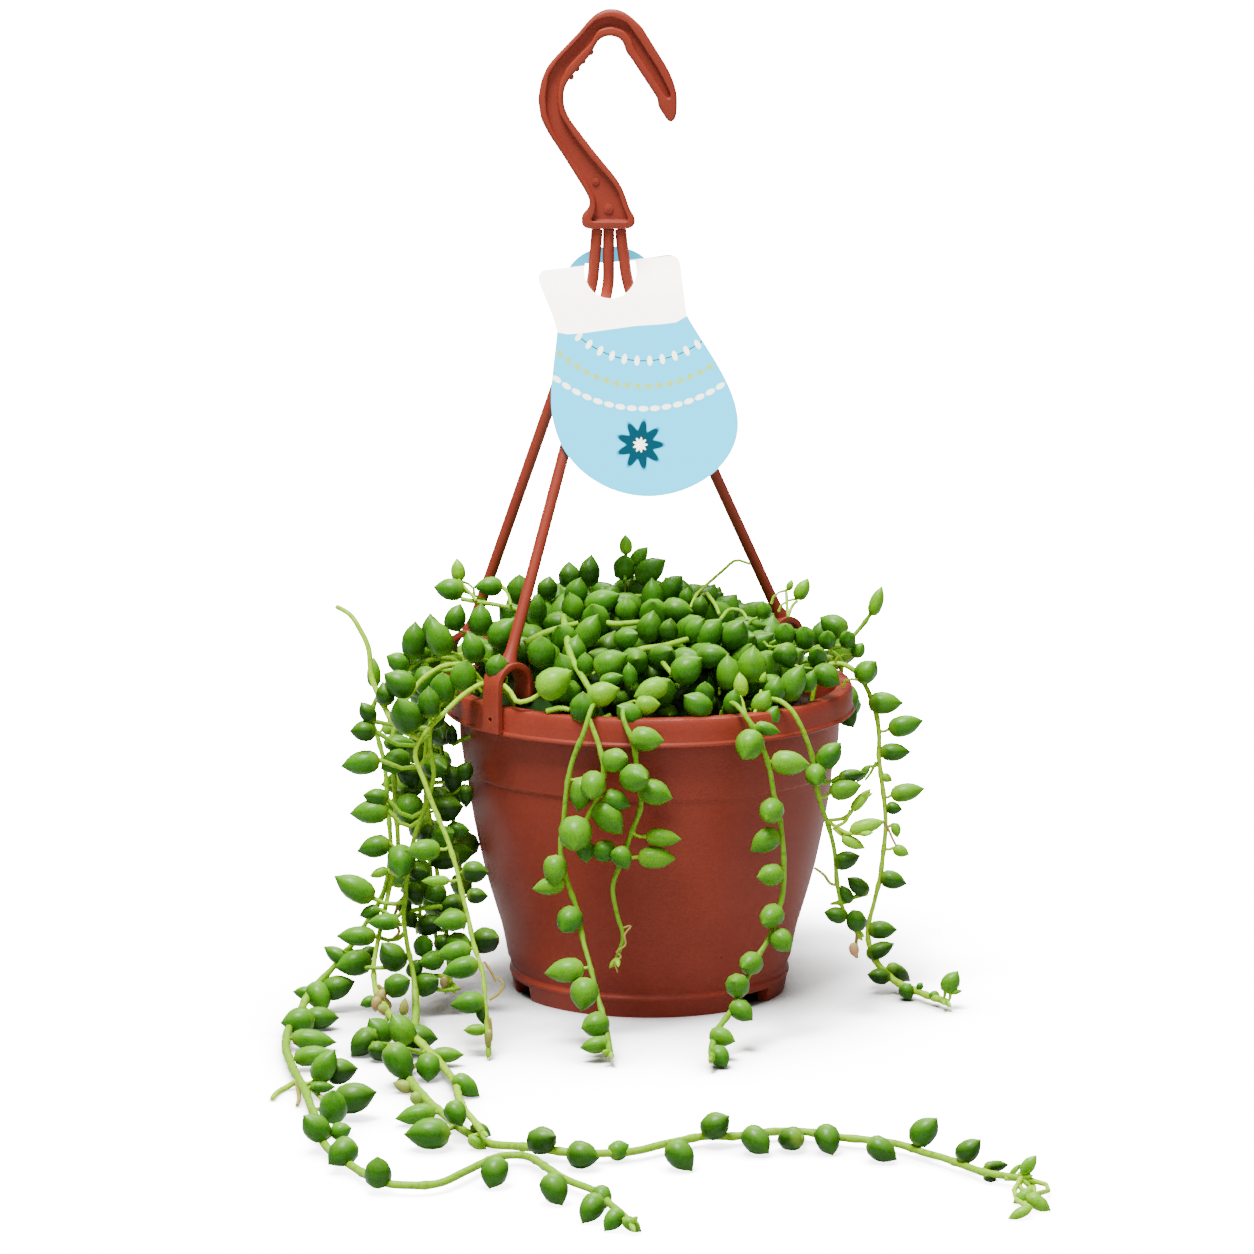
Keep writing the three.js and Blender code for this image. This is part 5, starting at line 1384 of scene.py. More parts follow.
        (-62.4, 25.5, 200, 6.2, 8.7, 0.1, 0.14), (-68.7, 19.1, 20, 6.2, 8.7, 0.2, 0.12),
        (-63.7, 13.3, 0, 5.6, 7.4, 0.2, 0.15), (-76.8, 25.5, 100, 4.7, 5, 0.2, 0.2),
        (-75, 20.7, -60, 4.7, 5.6, 0.2, 0.15),
    ],
    "strand_left_loop": [
        (-73.1, 109.5, 85, 7.4, 11.2, 0.1, 0.35), (-67.5, 112.3, 95, 6.8, 10.5, 0, 0.3),
        (-78.1, 102.9, 150, 6.2, 7.4, 0.2, 0.45), (-85.6, 99.4, 90, 4.3, 8.7, 0, 0.6),
        (-71.3, 101, 200, 3.7, 5.6, 0, 0.4), (-80.4, 82, 10, 4.3, 5.6, 0.3, 0.85),
        (-97.9, 9.4, 150, 5, 8.7, -0.2, 0.35), (-92.6, 6.8, 190, 8.1, 10.8, 0.3, 0.45),
        (-88.2, 10.1, 30, 4.3, 5.6, -0.2, 0.15), (-97.7, -0.9, 20, 7.4, 9.9, 0.1, 0.3),
        (-103.7, -4.1, -60, 7.4, 9, 0.6, 0.5), (-108.1, -2.8, 175, 4.3, 6.8, 0, 0.35),
        (-110.4, -11.9, 182, 8.1, 9.6, 0.3, 0.45), (-103.1, -10.9, 0, 6.8, 9.9, 0, 0.3),
        (-105.7, -18, -5, 6.2, 13, 0.1, 0.5), (-105.8, -23.2, 10, 6.2, 11.8, 0.1, 0.55),
        (-102.1, -26.5, 60, 7.4, 11.2, 0.1, 0.5), (-97, -28.1, 10, 8.1, 9.6, 0.1, 0.15),
        (-103.1, -33.3, 0, 3.7, 7.4, 0, 0.4), (-92.7, -36.6, 15, 9.6, 12.4, 0.1, 0.25),
        (-99.7, -39.5, 88, 8.7, 10.8, 0.4, 0.45), (-105.4, -46.3, 130, 8.1, 9.9, 0.3, 0.4),
        (-97.2, -47.6, 20, 5.6, 6.5, 0.3, 0.45), (-97, -54.8, 215, 8.7, 9.9, 0.5, 0.35),
        (-85.7, -61, 90, 8.4, 9.9, 0.3, 0.3), (-49, -61.4, -110, 8.4, 9.3, 0.7, 0.3),
        (-29.8, -66.9, -60, 8.4, 9.6, 0.6, 0.3), (-18.4, -73.1, -100, 7.4, 9.9, 0.2, 0.3),
        (-14.9, -69.5, -80, 6.2, 7.1, 0.7, 0.35), (-11.4, -76.8, -105, 5.9, 8.1, 0.2, 0.45),
        (-5.4, -78.4, -50, 4.3, 6.5, 0.1, 0.7),
    ],
}
# Side twigs, tendrils and withered ends: their points across and up, thickness, lightness and dryness.
seenTwigs = {
    "strand_right_outer": [
        ([(70.5, 71.2), (68.7, 67.7), (66.9, 65.5)], 0.45, 0.6, 0.0),
        ([(73.2, 52.7), (74.8, 48.9), (76.4, 45.7), (77.7, 43.8)], 0.4, 0.5, 0.9),
    ],
    "strand_right_inner": [
        ([(59, 31.9), (56.5, 32.6), (54.6, 35.1), (51.5, 37.4)], 0.45, 0.6, 0.5),
        ([(57.3, 50.2), (61, 52.1), (62.6, 55.9)], 0.55, 0.9, 0.0),
        ([(57.3, 50.2), (60.1, 47.9), (62, 47)], 0.55, 0.9, 0.0),
        ([(65.1, 15.5), (64.8, 12.6), (65.1, 8.4)], 0.5, 0.8, 1.0),
    ],
    "strand_front_middle": [
        ([(-5.7, 18.7), (-7.6, 15.9), (-7.3, 12.6), (-10.1, 10.4), (-8.6, 8.8), (-10.8, 7.2), (-9.8, 3.9)],
         0.28, 0.9, 0.8),
    ],
    "strand_left_loop": [
        ([(-110.3, -31), (-114.1, -33.3), (-116.9, -34.9), (-118.9, -37.2)], 0.8, 0.9, 0.0),
        ([(-110.9, -32), (-110.3, -35.9), (-111, -39.2)], 0.6, 0.8, 0.7),
        ([(-109.3, -31.7), (-105.9, -34.3), (-103.1, -37.5), (-103.4, -39.5)], 0.7, 0.9, 0.0),
    ],
    "strand_left_fork": [
        ([(-85.5, -0.3), (-83.6, -2.5), (-85.8, -5.1), (-82.4, -6.4), (-84.9, -9)], 0.6, 0.7, 0.9),
        ([(-80.8, -1.2), (-83.3, -3.8), (-81.4, -7), (-83.7, -9.6)], 0.5, 0.7, 0.8),
        ([(-79, 25.5), (-80, 20.7), (-78.4, 16.8), (-80.6, 14.2)], 0.5, 0.6, 1.0),
        ([(-76.9, -29.4), (-79.1, -32), (-75.4, -34.3), (-72.2, -35.9)], 0.6, 0.6, 0.5),
    ],
    "strand_left_pale": [
        ([(-50.3, -5.1), (-47.5, -3.2), (-45.9, -0.3), (-47.8, 2)], 0.45, 0.8, 0.8),
        ([(-51.8, 7.2), (-49.7, 3.9), (-48.4, 0.7)], 0.4, 0.8, 0.9),
        ([(-50.4, -10.9), (-49.8, -15.5), (-50.4, -20.6)], 0.6, 0.8, 0.8),
    ],
    "strand_left_floor": [
        ([(112.4, -63), (117.2, -63.3), (120.1, -65.3), (120.1, -68.6), (118.6, -72.2)], 0.8, 0.95, 0.0),
        ([(116.5, -61.7), (119.7, -62.3), (121.3, -65.6), (121.4, -68.9)], 0.7, 0.95, 0.0),
    ],
}

# Shrivelled leaves on the same plane: across, up, where the tip points, width, length, and how dry they are.
seenHusks = {
    "strand_right_inner": [(64.3, 10.8, -80, 3.2, 5, 1.0)],
    "strand_left_fork": [
        (-84.2, -3.5, 60, 3.4, 5, 0.7), (-85.8, -6.6, -100, 3.2, 5, 0.8), (-83.3, -8.6, -50, 3, 4.6, 0.5),
        (-77, -7.2, 85, 3, 5.6, 0.45), (-77.8, -33, 160, 3.8, 6, 0.35), (-75.2, -33.6, 110, 2.1, 6, 0.6),
        (-72.9, -37.5, -60, 3.8, 5, 0.2),
    ],
    "strand_left_inner_4": [(-64.4, 0.6, -100, 2.8, 4.6, 0.6)],
    "strand_left_pale": [(-50.5, -17.6, -95, 2.4, 5.6, 0.4)],
}
paintedStrandShade = {"strand_left": 0.1, "strand_right": 0.04}  # painted shade: how much darker the leaves of these strands are, as they hang in shadow

sideAngles = {"r": 0, "f": 90, "l": 180, "b": 270}
tries = [0, 12, -12, 24, -24, 38, -38, 54, -54, 72, -72, 95, -95, 120, -120, 150, -150, 180]
# a pair is the least of a drawn measure and how much a draw may add to it
pearl = {
    "stalk": (1.6, 1.6), "slimness": (1.26, 0.16), "size": (0.92, 0.2), "lean": (-0.2, 0.7), "turn": 30,
    "chartStep": 6, "tint": 0.32, "tintSpread": 0.34, "stalkTint": 0.6,
    "body": 0.47, "tipAt": 0.94, "tipBall": 0.7, "drawn": 0.97,  # its two balls, and how much it fills
    "fall": 0.4, "fallFrom": 0.85, "fallOver": 0.15,  # leaves get smaller over the last part of a stem
}
youngPearl = {"stem": 0.8, "size": 0.72, "slimness": 1.9, "tint": 0.85, "stalkTint": 0.9}
bud = {"count": 2, "sunk": 0.4, "splay": 1.1, "width": 1.7, "length": 4.2, "tint": 0.95, "swayStep": 9}
seen = {
    "scale": 1.06, "stretch": 1.05, "leastLevel": 0.6, "leastSlimness": 1.16, "mostSlimness": 2.6,
    "attempts": 26, "nearer": 0.6, "higher": 0.35,  # a leaf without room is moved in steps
    "squeeze": 0.72, "air": 0.1, "overFloor": 0.3, "half": 0.52, "floorAir": 0.4, "stalkAt": 0.55,
    "stalkFrom": 0.6, "stalkTint": (0.45, 0.5), "thickenOver": 14, "thickest": 1.7,
    "huskDepth": 2, "huskTint": 0.6, "twigDepth": 0.5, "twigRoom": 0.9, "twigGap": 1.5,
}
potSide = [
    (42.4, 0), (43.4, 6.4), (43.2, 7.8), (45.3, 16), (48.4, 27.5), (52, 40.5), (54.7, 53.5), (56.6, 66),
    (57, 70.4), (57.7, 71.2), (58.9, 80), (59.3, 88),
]


def potRoom(point):
    # how far a point is from the pot, the soil and the surface below
    radius, z = math.hypot(point[0], point[1]), point[2]
    beside = max(potSizes["mouth"] - radius, radius - potSizes["rim"], 0)
    above = max(potSizes["bandFoot"] - z, z - potSizes["top"], 0)
    room = min(math.hypot(beside, above), z)
    if z < potSizes["bandFoot"]:
        return min(room, radius - np.interp(z, [h for _, h in potSide], [r for r, _ in potSide]))
    return min(room, z - soilSizes["top"]) if radius < potSizes["mouth"] else room


def hangerRoom(point):
    sizes = armSizes
    room = 1e9
    for _, angle, _, bundleX in sizes["arms"]:
        turn = math.radians(angle)
        reach = sizes["clipCentre"]
        end = np.array([reach * math.cos(turn), reach * math.sin(turn), sizes["solidEnd"]])
        spread = np.array([bundleX, hookSizes["centre"][1], sizes["bundle"]]) - end
        share = min(max(np.dot(point - end, spread) / np.dot(spread, spread), 0), 1)
        room = min(room, np.linalg.norm(point - end - share * spread) - sizes["radius"])
        out = abs(point[0] * math.cos(turn) + point[1] * math.sin(turn) - sizes["clipCentre"])
        side = abs(point[1] * math.cos(turn) - point[0] * math.sin(turn))
        up = max(sizes["outerFoot"] - point[2], point[2] - sizes["spring"] - sizes["outer"], 0)
        room = min(room, math.hypot(max(out - sizes["outer"], 0), max(side - sizes["width"] / 2, 0), up))
    return room


def vary(draws, least, spread):
    return least + spread * next(draws)


class Crowd:
    # balls that stand for every leaf and stem so far, so that no leaf grows through another
    def __init__(self):
        self.centres, self.radii, self.owners, self.woody = [], [], [], []

    def add(self, centre, radius, owner, woody=False):
        self.centres.append(centre)
        self.radii.append(radius)
        self.owners.append(owner)
        self.woody.append(woody)

    def hasRoom(self, balls, owner, squeeze=0.8, air=0.3):
        centres, radii = np.array(self.centres), np.array(self.radii)
        own = np.array(self.owners) == owner
        free = own & np.array(self.woody)
        for centre, radius in balls:
            if min(potRoom(centre), hangerRoom(centre)) < radius + air:
                return False
            needed = np.where(own, squeeze * (radii + radius), radii + radius + air)
            if np.any((np.linalg.norm(centres - centre, axis=1) < needed) & ~free):
                return False
        return True


def tangentAt(path, lengths, distance):
    return unit(pointAt(path, lengths, distance + 0.4) - pointAt(path, lengths, distance - 0.4))


def drawStem(sketch, points, leafStops, tint, thin=1.0, dry=0.0, twig=False):
    # a stem that sways a little, swells at each leaf and tapers to its end
    shape = stemShape
    path = smoothPath(points)
    lengths = lengthsAlong(path)
    count = max(int(lengths[-1] / shape["twigStep" if twig else "step"]), 3)
    places, radii = [], []
    for i in range(count + 1):
        distance = lengths[-1] * i / count
        place = pointAt(path, lengths, distance)
        sway = noise.noise_vector(Vector(place) * shape["swayScale"]) * shape["wobble"]
        places.append(place + np.array(sway))
        knots = [math.exp(-((distance - stop) / shape["knotReach"]) ** 2) for stop in leafStops]
        taper = shape["root"] - shape["taper"] * (i / count) ** 3
        girth = shape["thickness"] if twig else np.interp(
            place[2], shape["floorLevels"], [shape["onFloor"], shape["thickness"]])
        radii.append(thin * (girth * taper + shape["knot"] * max(knots, default=0)))
    sketch.line(places, radii, tint, dry)


def drawStalk(sketch, root, foot, heading, along, tint, radius=1.0):
    # the short bent stalk that a leaf hangs from
    reach = np.linalg.norm(foot - root)
    knee = root + unit(heading + stalkShape["bend"] * along) * reach * stalkShape["kneeAt"]
    knee[2] = max(knee[2], min(root[2], foot[2], stalkShape["kneeHeight"]))
    path = [root, (root + 2 * knee) / 3, (foot + 2 * knee) / 3, foot + heading * stalkShape["inLeaf"]]
    sketch.line(path, [stemShape["stalk"] * radius * girth for girth in stalkShape["girths"]], tint)


def fullChart(route, owner):
    # the chart is thinner than the plant: hidden stems get more leaves here, and where the seen leaves are
    # placed one by one only those of the far side are kept
    if owner in seenLeaves and owner != "strand_left_inner_4":
        return "".join(letter if letter == "b" else "." for letter in route["chart"])
    if "inner" in owner or "back" in owner:
        return "...." + "".join("flrb"[(i * 3 + i // 4) % 4] if letter == "." and i % 3 else letter
                                for i, letter in enumerate(route["chart"][4:]))
    return route["chart"]


def growRoute(sketch, route, strand, draws, looks):
    # a stem with the leaves of its chart, each turned to where it has room
    owner = strand["name"]
    path = smoothPath(route["points"])
    lengths = lengthsAlong(path)
    total = lengths[-1]
    stops = [min(i * pearl["chartStep"], total) for i, letter in enumerate(route["chart"]) if letter != "."]
    young = route.get("young", False)
    stemTint = youngPearl["tint"] if young else vary(looks, *stemShape["tint"])
    drawStem(sketch, route["points"], stops, stemTint, youngPearl["stem"] if young else route.get("thick", 1))
    for i, letter in enumerate(fullChart(route, owner)):
        if letter == ".":
            continue
        share = min(i * pearl["chartStep"] / total, 1)
        root = pointAt(path, lengths, share * total)
        along = tangentAt(path, lengths, share * total)
        outward = unit((root[0], root[1], 0)) * abs(along[2]) + np.array([0, 0, 1 - abs(along[2])])
        outward = unit(outward - along * outward.dot(along))
        right = np.cross(outward, along)
        late = max(0, share - pearl["fallFrom"])
        taper = youngPearl["size"] if young else 1 - pearl["fall"] * late / pearl["fallOver"]
        size = strand["width"] * taper * vary(draws, *pearl["size"])
        long = size * (youngPearl["slimness"] if young else vary(draws, *pearl["slimness"]))
        stalk = vary(draws, *pearl["stalk"])
        lean = vary(draws, *pearl["lean"])
        wobble = pearl["turn"] * (next(draws) - 0.5)
        for turn in tries:
            angle = math.radians(sideAngles[letter] + wobble + turn)
            heading = unit(right * math.cos(angle) + outward * math.sin(angle) + along * lean)
            balls = [(root + heading * (stalk + pearl["body"] * long), size / 2),
                     (root + heading * (stalk + pearl["tipAt"] * long), pearl["tipBall"])]
            if crowd.hasRoom(balls, owner):
                break
        else:
            continue
        for centre, radius in balls:
            crowd.add(centre, radius, owner)
        foot = root + heading * stalk
        drawStalk(sketch, root, foot, heading, along, (youngPearl if young else pearl)["stalkTint"])
        shade = youngPearl["tint"] if young else pearl["tint"] + pearl["tintSpread"] * (next(looks) - 0.5)
        sketch.leaf(foot, heading, size * pearl["drawn"], long, shade, roll=fullTurn * next(looks))
    tip, heading = path[-1], unit(path[-1] - path[-8])
    for j in range(0 if route.get("bare") else bud["count"]):
        side = np.array(noise.noise_vector(Vector(tip + bud["swayStep"] * j)))
        sketch.leaf(tip - heading * bud["sunk"], unit(heading + bud["splay"] * side), bud["width"],
                    bud["length"], bud["tint"], roll=j)


def seenAt(across, up, reach, axis=1):
    # the place at a depth, or with axis 2 at a height, that the camera sees behind a point of the plane y = 0
    eye, point = np.array(viewpoint["eye"], float), np.array([across, 0.0, up])
    return eye + (point - eye) * (reach - eye[axis]) / (point[axis] - eye[axis])


def seenHeading(angle, toward):
    # the way a leaf points whose tip is seen at an angle, and how much of its length lies across the view
    turn, level = math.radians(angle), math.sqrt(1 - toward * toward)
    return np.array([math.cos(turn) * level, -toward, math.sin(turn) * level]), level


def nearest(flat, target):
    return int(np.argmin(np.linalg.norm(flat - np.array(target), axis=1)))


def flatView(places):
    # where the camera sees places, on the plane y = 0
    eye = np.array(viewpoint["eye"], float)
    share = -eye[1] / (places[:, 1] - eye[1])
    return (eye + (places - eye) * share[:, None])[:, [0, 2]]


def placeSeen(across, up, width, y):
    centre = seenAt(across, up, y)
    return centre if centre[2] > width else seenAt(across, up, width, 2)


def laidDown(heading, centre, length):
    # a leaf by the surface lies flatter, so that neither of its ends goes below
    steepest = max(centre[2] - seen["floorAir"], 0) / (seen["half"] * length)
    if abs(heading[2]) <= steepest:
        return heading
    across = np.array([heading[0], heading[1] - 0.01])
    across *= math.sqrt(1 - steepest * steepest) / np.linalg.norm(across)
    return np.array([across[0], across[1], math.copysign(steepest, heading[2])])


def growSeen(sketch, name, spine, looks):
    # the leaves that the photograph shows, each hung from the stem that it is seen beside
    flat = flatView(spine)
    # painted shade for the strands that hang in shadow
    shade = next((value for start, value in paintedStrandShade.items() if name.startswith(start)), 0)
    missed = 0
    rows = sorted(seenLeaves.get(name, []), key=lambda row: row[6])
    for across, up, angle, width, length, toward, tint in rows:
        heading, level = seenHeading(angle, toward)
        side = np.array([math.cos(math.radians(angle)), math.sin(math.radians(angle))])
        near = nearest(flat, np.array([across, up]) - seen["stalkAt"] * length * level * side)
        slant = math.sqrt(max((length / width) ** 2 - toward**2, 0))
        slimness = max(seen["stretch"] * slant / max(level, seen["leastLevel"]), seen["leastSlimness"])
        for attempt in range(seen["attempts"]):
            y = spine[near][1] - seen["nearer"] * attempt
            wide = seen["scale"] * width * (y - viewpoint["eye"][1]) / -viewpoint["eye"][1]
            long = wide * min(slimness, seen["mostSlimness"])
            centre = placeSeen(across, up, wide / 2 + seen["overFloor"] + seen["higher"] * attempt,
                               y + heading[1] * pearl["body"] * long)
            if crowd.hasRoom([(centre, wide / 2)], name, seen["squeeze"], seen["air"]):
                break
        else:
            missed += 1
            if potRoom(centre) < wide / 2:
                continue
        heading = laidDown(heading, centre, long)
        foot = centre - heading * long * pearl["body"]
        crowd.add(centre, wide / 2, name)
        sketch.leaf(foot, heading, wide, long, tint - shade, roll=fullTurn * next(looks))
        gap = np.linalg.norm(foot - spine[near])
        if gap > seen["stalkFrom"]:
            along = unit(spine[min(near + 2, len(spine) - 1)] - spine[max(near - 2, 0)])
            stalkTint = seen["stalkTint"][0] + seen["stalkTint"][1] * tint
            drawStalk(sketch, spine[near], foot, heading, along, stalkTint,
                      min(1 + gap / seen["thickenOver"], seen["thickest"]))
    for across, up, angle, width, length, dry in seenHusks.get(name, []):
        near = nearest(flat, (across, up))
        centre = placeSeen(across, up, width / 2 + seen["overFloor"], spine[near][1] - seen["huskDepth"])
        heading = laidDown(seenHeading(angle, 0)[0], centre, length)
        sketch.leaf(centre - heading * length / 2, heading, width, length, seen["huskTint"], dry, across)
    for points, thickness, tint, dry in seenTwigs.get(name, []):
        start = spine[nearest(flat, points[0])]
        y = start[1] - seen["twigDepth"]
        path = [placeSeen(across, up, seen["twigRoom"], y) for across, up in points]
        if np.linalg.norm(start - path[0]) > seen["twigGap"]:
            path = [start, *path]
        drawStem(sketch, path, [], tint, thickness / stemShape["thickness"], dry, True)
    if missed:
        print(name, "leaves without room:", missed)


def dress(piece, node):
    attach(piece, "root")
    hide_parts(node)


def growStrand(strand):
    sketch = Sketch()
    draws, looks = seededDraws(strand["seed"]), seededDraws(strand["seed"] + 100)
    spine = np.vstack([smoothPath(route["points"]) for route in strand["routes"]])
    growSeen(sketch, strand["name"], spine[spine[:, 2] > 0], looks)
    for route in strand["routes"]:
        growRoute(sketch, route, strand, draws, looks)
    dress(sketch.grow(strand["name"] + "Growth"), strand["name"])


crowd = Crowd()
for strand in strands:
    for route in strand["routes"]:
        path = smoothPath(route["points"])
        lengths = lengthsAlong(path)
        for distance in np.linspace(0, lengths[-1], math.ceil(lengths[-1] / 2) + 1):
            crowd.add(pointAt(path, lengths, distance), 1.2, strand["name"], True)
for strand in strands:
    growStrand(strand)
print("strands have grown")


# Mound over the pot

# As seen from the camera, in mm on the plane through the pot's axis: across, up, where the tip points in
# degrees, width, length, how much it points at the viewer, and how light it is.
moundLeaves = [
    (-62, 125.8, 172, 7.1, 9.7, 0, 0.35), (-59.3, 131.8, 95, 4.7, 7.4, 0, 0.8),
    (-49.8, 126.7, 180, 6.2, 8.9, 0.2, 0.35), (-40.3, 125.8, 90, 8.4, 9.7, 0.3, 0.2),
    (-31.6, 126.2, 80, 6.6, 7.8, 0.2, 0.1), (-24.8, 130.2, 92, 7.2, 8.5, 0, 0.15),
    (-18.7, 131.4, 82, 7, 10.3, 0, 0.1), (-7.9, 132.8, 90, 7.1, 8.1, 0.5, 0.4),
    (-7.4, 139.7, 92, 4.2, 6.4, 0, 0.8), (-3.1, 136.1, 50, 4.8, 7.8, 0, 0.65),
    (0.3, 131.8, 35, 7.8, 11.2, 0, 0.4), (6.7, 126.5, 45, 7, 9.7, 0, 0.35),
    (0.9, 124, 92, 7.2, 10.5, 0.1, 0.35), (-14.7, 121.8, 25, 8.1, 11.6, 0.2, 0.35),
    (-22.7, 124.8, 75, 7.4, 9.7, 0.2, 0.3), (-23.9, 120.4, 100, 7.1, 8.9, 0.3, 0.4),
    (8.6, 119.1, 0, 8.1, 9.3, 0.4, 0.2), (-18.9, 112.6, 62, 7.8, 11.6, 0.1, 0.4),
    (0.1, 114.1, 78, 7.9, 10.1, 0.2, 0.25), (-7, 110.4, 30, 6.8, 7.4, 0.6, 0.3),
    (14.5, 113, 60, 7, 8.5, 0.4, 0.3), (18.7, 112.2, 50, 7.8, 10.8, 0.1, 0.35),
    (26.5, 111.8, 60, 8.9, 9.7, 0.4, 0.25), (-54.9, 107.6, 108, 7.1, 10.1, 0.1, 0.35),
    (-52.4, 116.1, 88, 7.8, 10.2, 0.2, 0.3), (-60.1, 116.9, 70, 6.8, 9.1, 0.1, 0.25),
    (-65.4, 110.6, 112, 8.1, 13.9, 0.1, 0.4), (-45.2, 112, 55, 9.1, 11.2, 0.3, 0.3),
    (-34.6, 119.6, 85, 5.8, 10.8, 0.2, 0.2), (-33.6, 106.3, 90, 8.9, 9.7, 0.4, 0.3),
    (-29.5, 96.4, 35, 9.7, 12.4, 0.1, 0.75), (-20, 102.5, 90, 5.4, 6.8, 0.3, 0.35),
    (-12.1, 102.5, 28, 8.7, 11.2, 0.1, 0.4), (-6.2, 98.8, 95, 4.8, 8.1, 0.1, 0.35),
    (-14.4, 92.8, 20, 7.6, 10.1, 0.1, 0.85), (0.5, 94, 200, 7, 10.8, 0.2, 0.7),
    (-0.6, 89.3, 5, 6.2, 7.6, 0.2, 0.8), (-20.7, 88.7, 90, 8.4, 9.5, 0.3, 0.3),
    (-6.6, 86.5, 140, 7.4, 8.5, 0.4, 0.35), (11.8, 100.7, 40, 9.1, 10.8, 0.2, 0.35),
    (14.7, 89.3, 140, 8.4, 9.7, 0.3, 0.35), (19.5, 104.7, 10, 7.8, 10.1, 0.3, 0.2),
    (24.4, 99.5, 92, 7.6, 11.2, 0.1, 0.45), (31.8, 101.9, 85, 9.3, 12, 0.2, 0.5),
    (44.6, 96.2, 62, 8.1, 13.9, 0.1, 0.4), (49.8, 96.8, 70, 4.7, 10.1, 0.1, 0.3),
    (55, 98.4, -30, 7.5, 8.9, 0.4, 0.25), (52.1, 104.7, 90, 6.2, 6.5, 0.8, 0.25),
    (42, 112, 90, 6.7, 6.2, 0.6, 0.35), (48.2, 110.8, 95, 6.8, 7.4, 0.5, 0.3),
    (55.2, 110, 90, 5.6, 5.6, 0.6, 0.25), (61.4, 110.2, 90, 5.3, 5.4, 0.6, 0.25),
    (67.5, 99.7, 65, 5.9, 7.4, 0.2, 0.4), (64.9, 106.7, 60, 4.3, 5.4, 0.3, 0.4),
    (35.4, 119.3, 90, 5, 5.4, 0.5, 0.4), (47.3, 125.8, 62, 4.8, 8.7, 0, 0.7),
    (43.5, 127.1, 70, 2.3, 4.8, 0, 0.75), (28.3, 95.6, 95, 4.8, 8.7, 0, 0.9),
    (35.1, 90.1, 60, 6.2, 8.5, 0.1, 0.6), (35.2, 98, 65, 2.3, 6.6, 0, 0.95),
    (36.7, 81.7, -10, 3.7, 7.4, 0.1, 0.8), (-11.9, 97.2, 20, 4.7, 8.5, 0.1, 0.3),
    (17.2, 93.2, 90, 6.2, 7, 0.4, 0.2), (15.6, 120.4, 80, 5.4, 7, 0.2, 0.1),
    (11.3, 123.3, 80, 4.7, 6.2, 0.2, 0.35), (-7.2, 119.6, 90, 7, 7.4, 0.3, 0.4),
    (5.9, 113, 80, 6.2, 7.4, 0.3, 0.1), (39, 94, 75, 7, 8.5, 0.2, 0.3), (37.9, 85.7, 60, 6.2, 7.4, 0.3, 0.4),
    (25.8, 90.1, 80, 5.8, 8.5, 0.2, 0.3), (42.4, 104.7, -60, 7.8, 8.1, 0.3, 0.2),
    (-57.7, 98.8, 80, 8.5, 9.7, 0.4, 0.4), (-64.3, 95, 90, 8.1, 9.3, 0.4, 0.35),
    (-47.2, 101.5, 80, 7.4, 7.8, 0.3, 0.25),
]
# Stems and shoots of the mound as seen from the camera, across and up, with their thickness and lightness.
moundStems = [
    ([(-26.6, 117.3), (-26.1, 113), (-25.1, 107.4), (-23.1, 101.9), (-20, 96.4), (-18.1, 93.2)], 1.05, 0.6),
    ([(-38.6, 108.9), (-33.2, 111.8), (-28.5, 113.6), (-22.3, 115.2)], 0.9, 0.6),
    ([(-15, 115.9), (-10.7, 114.7), (-3, 115.3)], 0.9, 0.6),
    ([(-9.9, 123.3), (-2.2, 123.8)], 0.8, 0.6),
    ([(-8, 104.8), (-2.2, 106.8), (4, 107.8), (11.8, 110)], 0.95, 0.6),
    ([(12.5, 120), (14.4, 123.8), (16.4, 125.9), (20.2, 129.5), (23.3, 132.2), (26.8, 135), (31, 133.8)],
     0.5, 0.85),
    ([(-58.3, 122.8), (-53.3, 121.8), (-47.1, 120.8), (-40.2, 119.4)], 0.7, 0.6),
    ([(2.5, 107.4), (4.4, 102.7), (7.1, 98.8)], 0.8, 0.6),
    ([(-32.1, 87.2), (-27.8, 88.3), (-24.7, 87.7)], 0.8, 0.6),
    ([(21.8, 116.1), (24.5, 119.3), (28.4, 118.9), (30.3, 116.1)], 0.55, 0.6),
    ([(-45.1, 95.6), (-43, 93.2), (-41.2, 90.1), (-37.1, 90.8), (-34, 92.8)], 0.7, 0.9),
    ([(25.8, 90.1), (28.3, 91.8), (29.9, 86.5), (32, 84.5)], 0.6, 0.95),
    ([(32, 84.5), (33.6, 89.3), (34.7, 94)], 0.5, 0.95),
    ([(-7.6, 128.7), (-7.4, 135), (-7.4, 136.9)], 0.5, 0.6),
    ([(-59.3, 128.7), (-57.2, 126.2), (-54.8, 123.8), (-53.7, 122)], 0.55, 0.6),
    ([(-45.4, 126.3), (-44, 124.8), (-42.9, 120.8)], 0.5, 0.6),
    ([(45.8, 122), (44.3, 120.4), (43.1, 116.9)], 0.5, 0.6),
    ([(42.3, 124.8), (42.6, 121.6), (43.1, 116.9)], 0.5, 0.6),
    ([(17.9, 124.4), (20.3, 120.8), (21.4, 117.7)], 0.6, 0.6),
    ([(-20.1, 83.7), (-16.2, 84.1), (-11.9, 86.1)], 0.8, 0.6),
    ([(-26.2, 100.3), (-24.3, 99.2)], 0.6, 0.6),
]


def moundDepth(across, up):
    front = np.interp(up, mound["levels"], mound["fronts"])
    return -front * math.sqrt(max(0.1, 1 - ((across - mound["middle"]) / mound["half"]) ** 2))


def moundTop(x, y, inset=0):
    # height of the mound's skin over a place on the soil
    reach = math.hypot(x - mound["centre"][0], y - mound["centre"][1]) / (mound["radius"] - inset)
    return mound["foot"] - inset * 0.6 + (mound["height"] - inset * 0.3) * max(0, 1 - reach * reach) ** 0.6


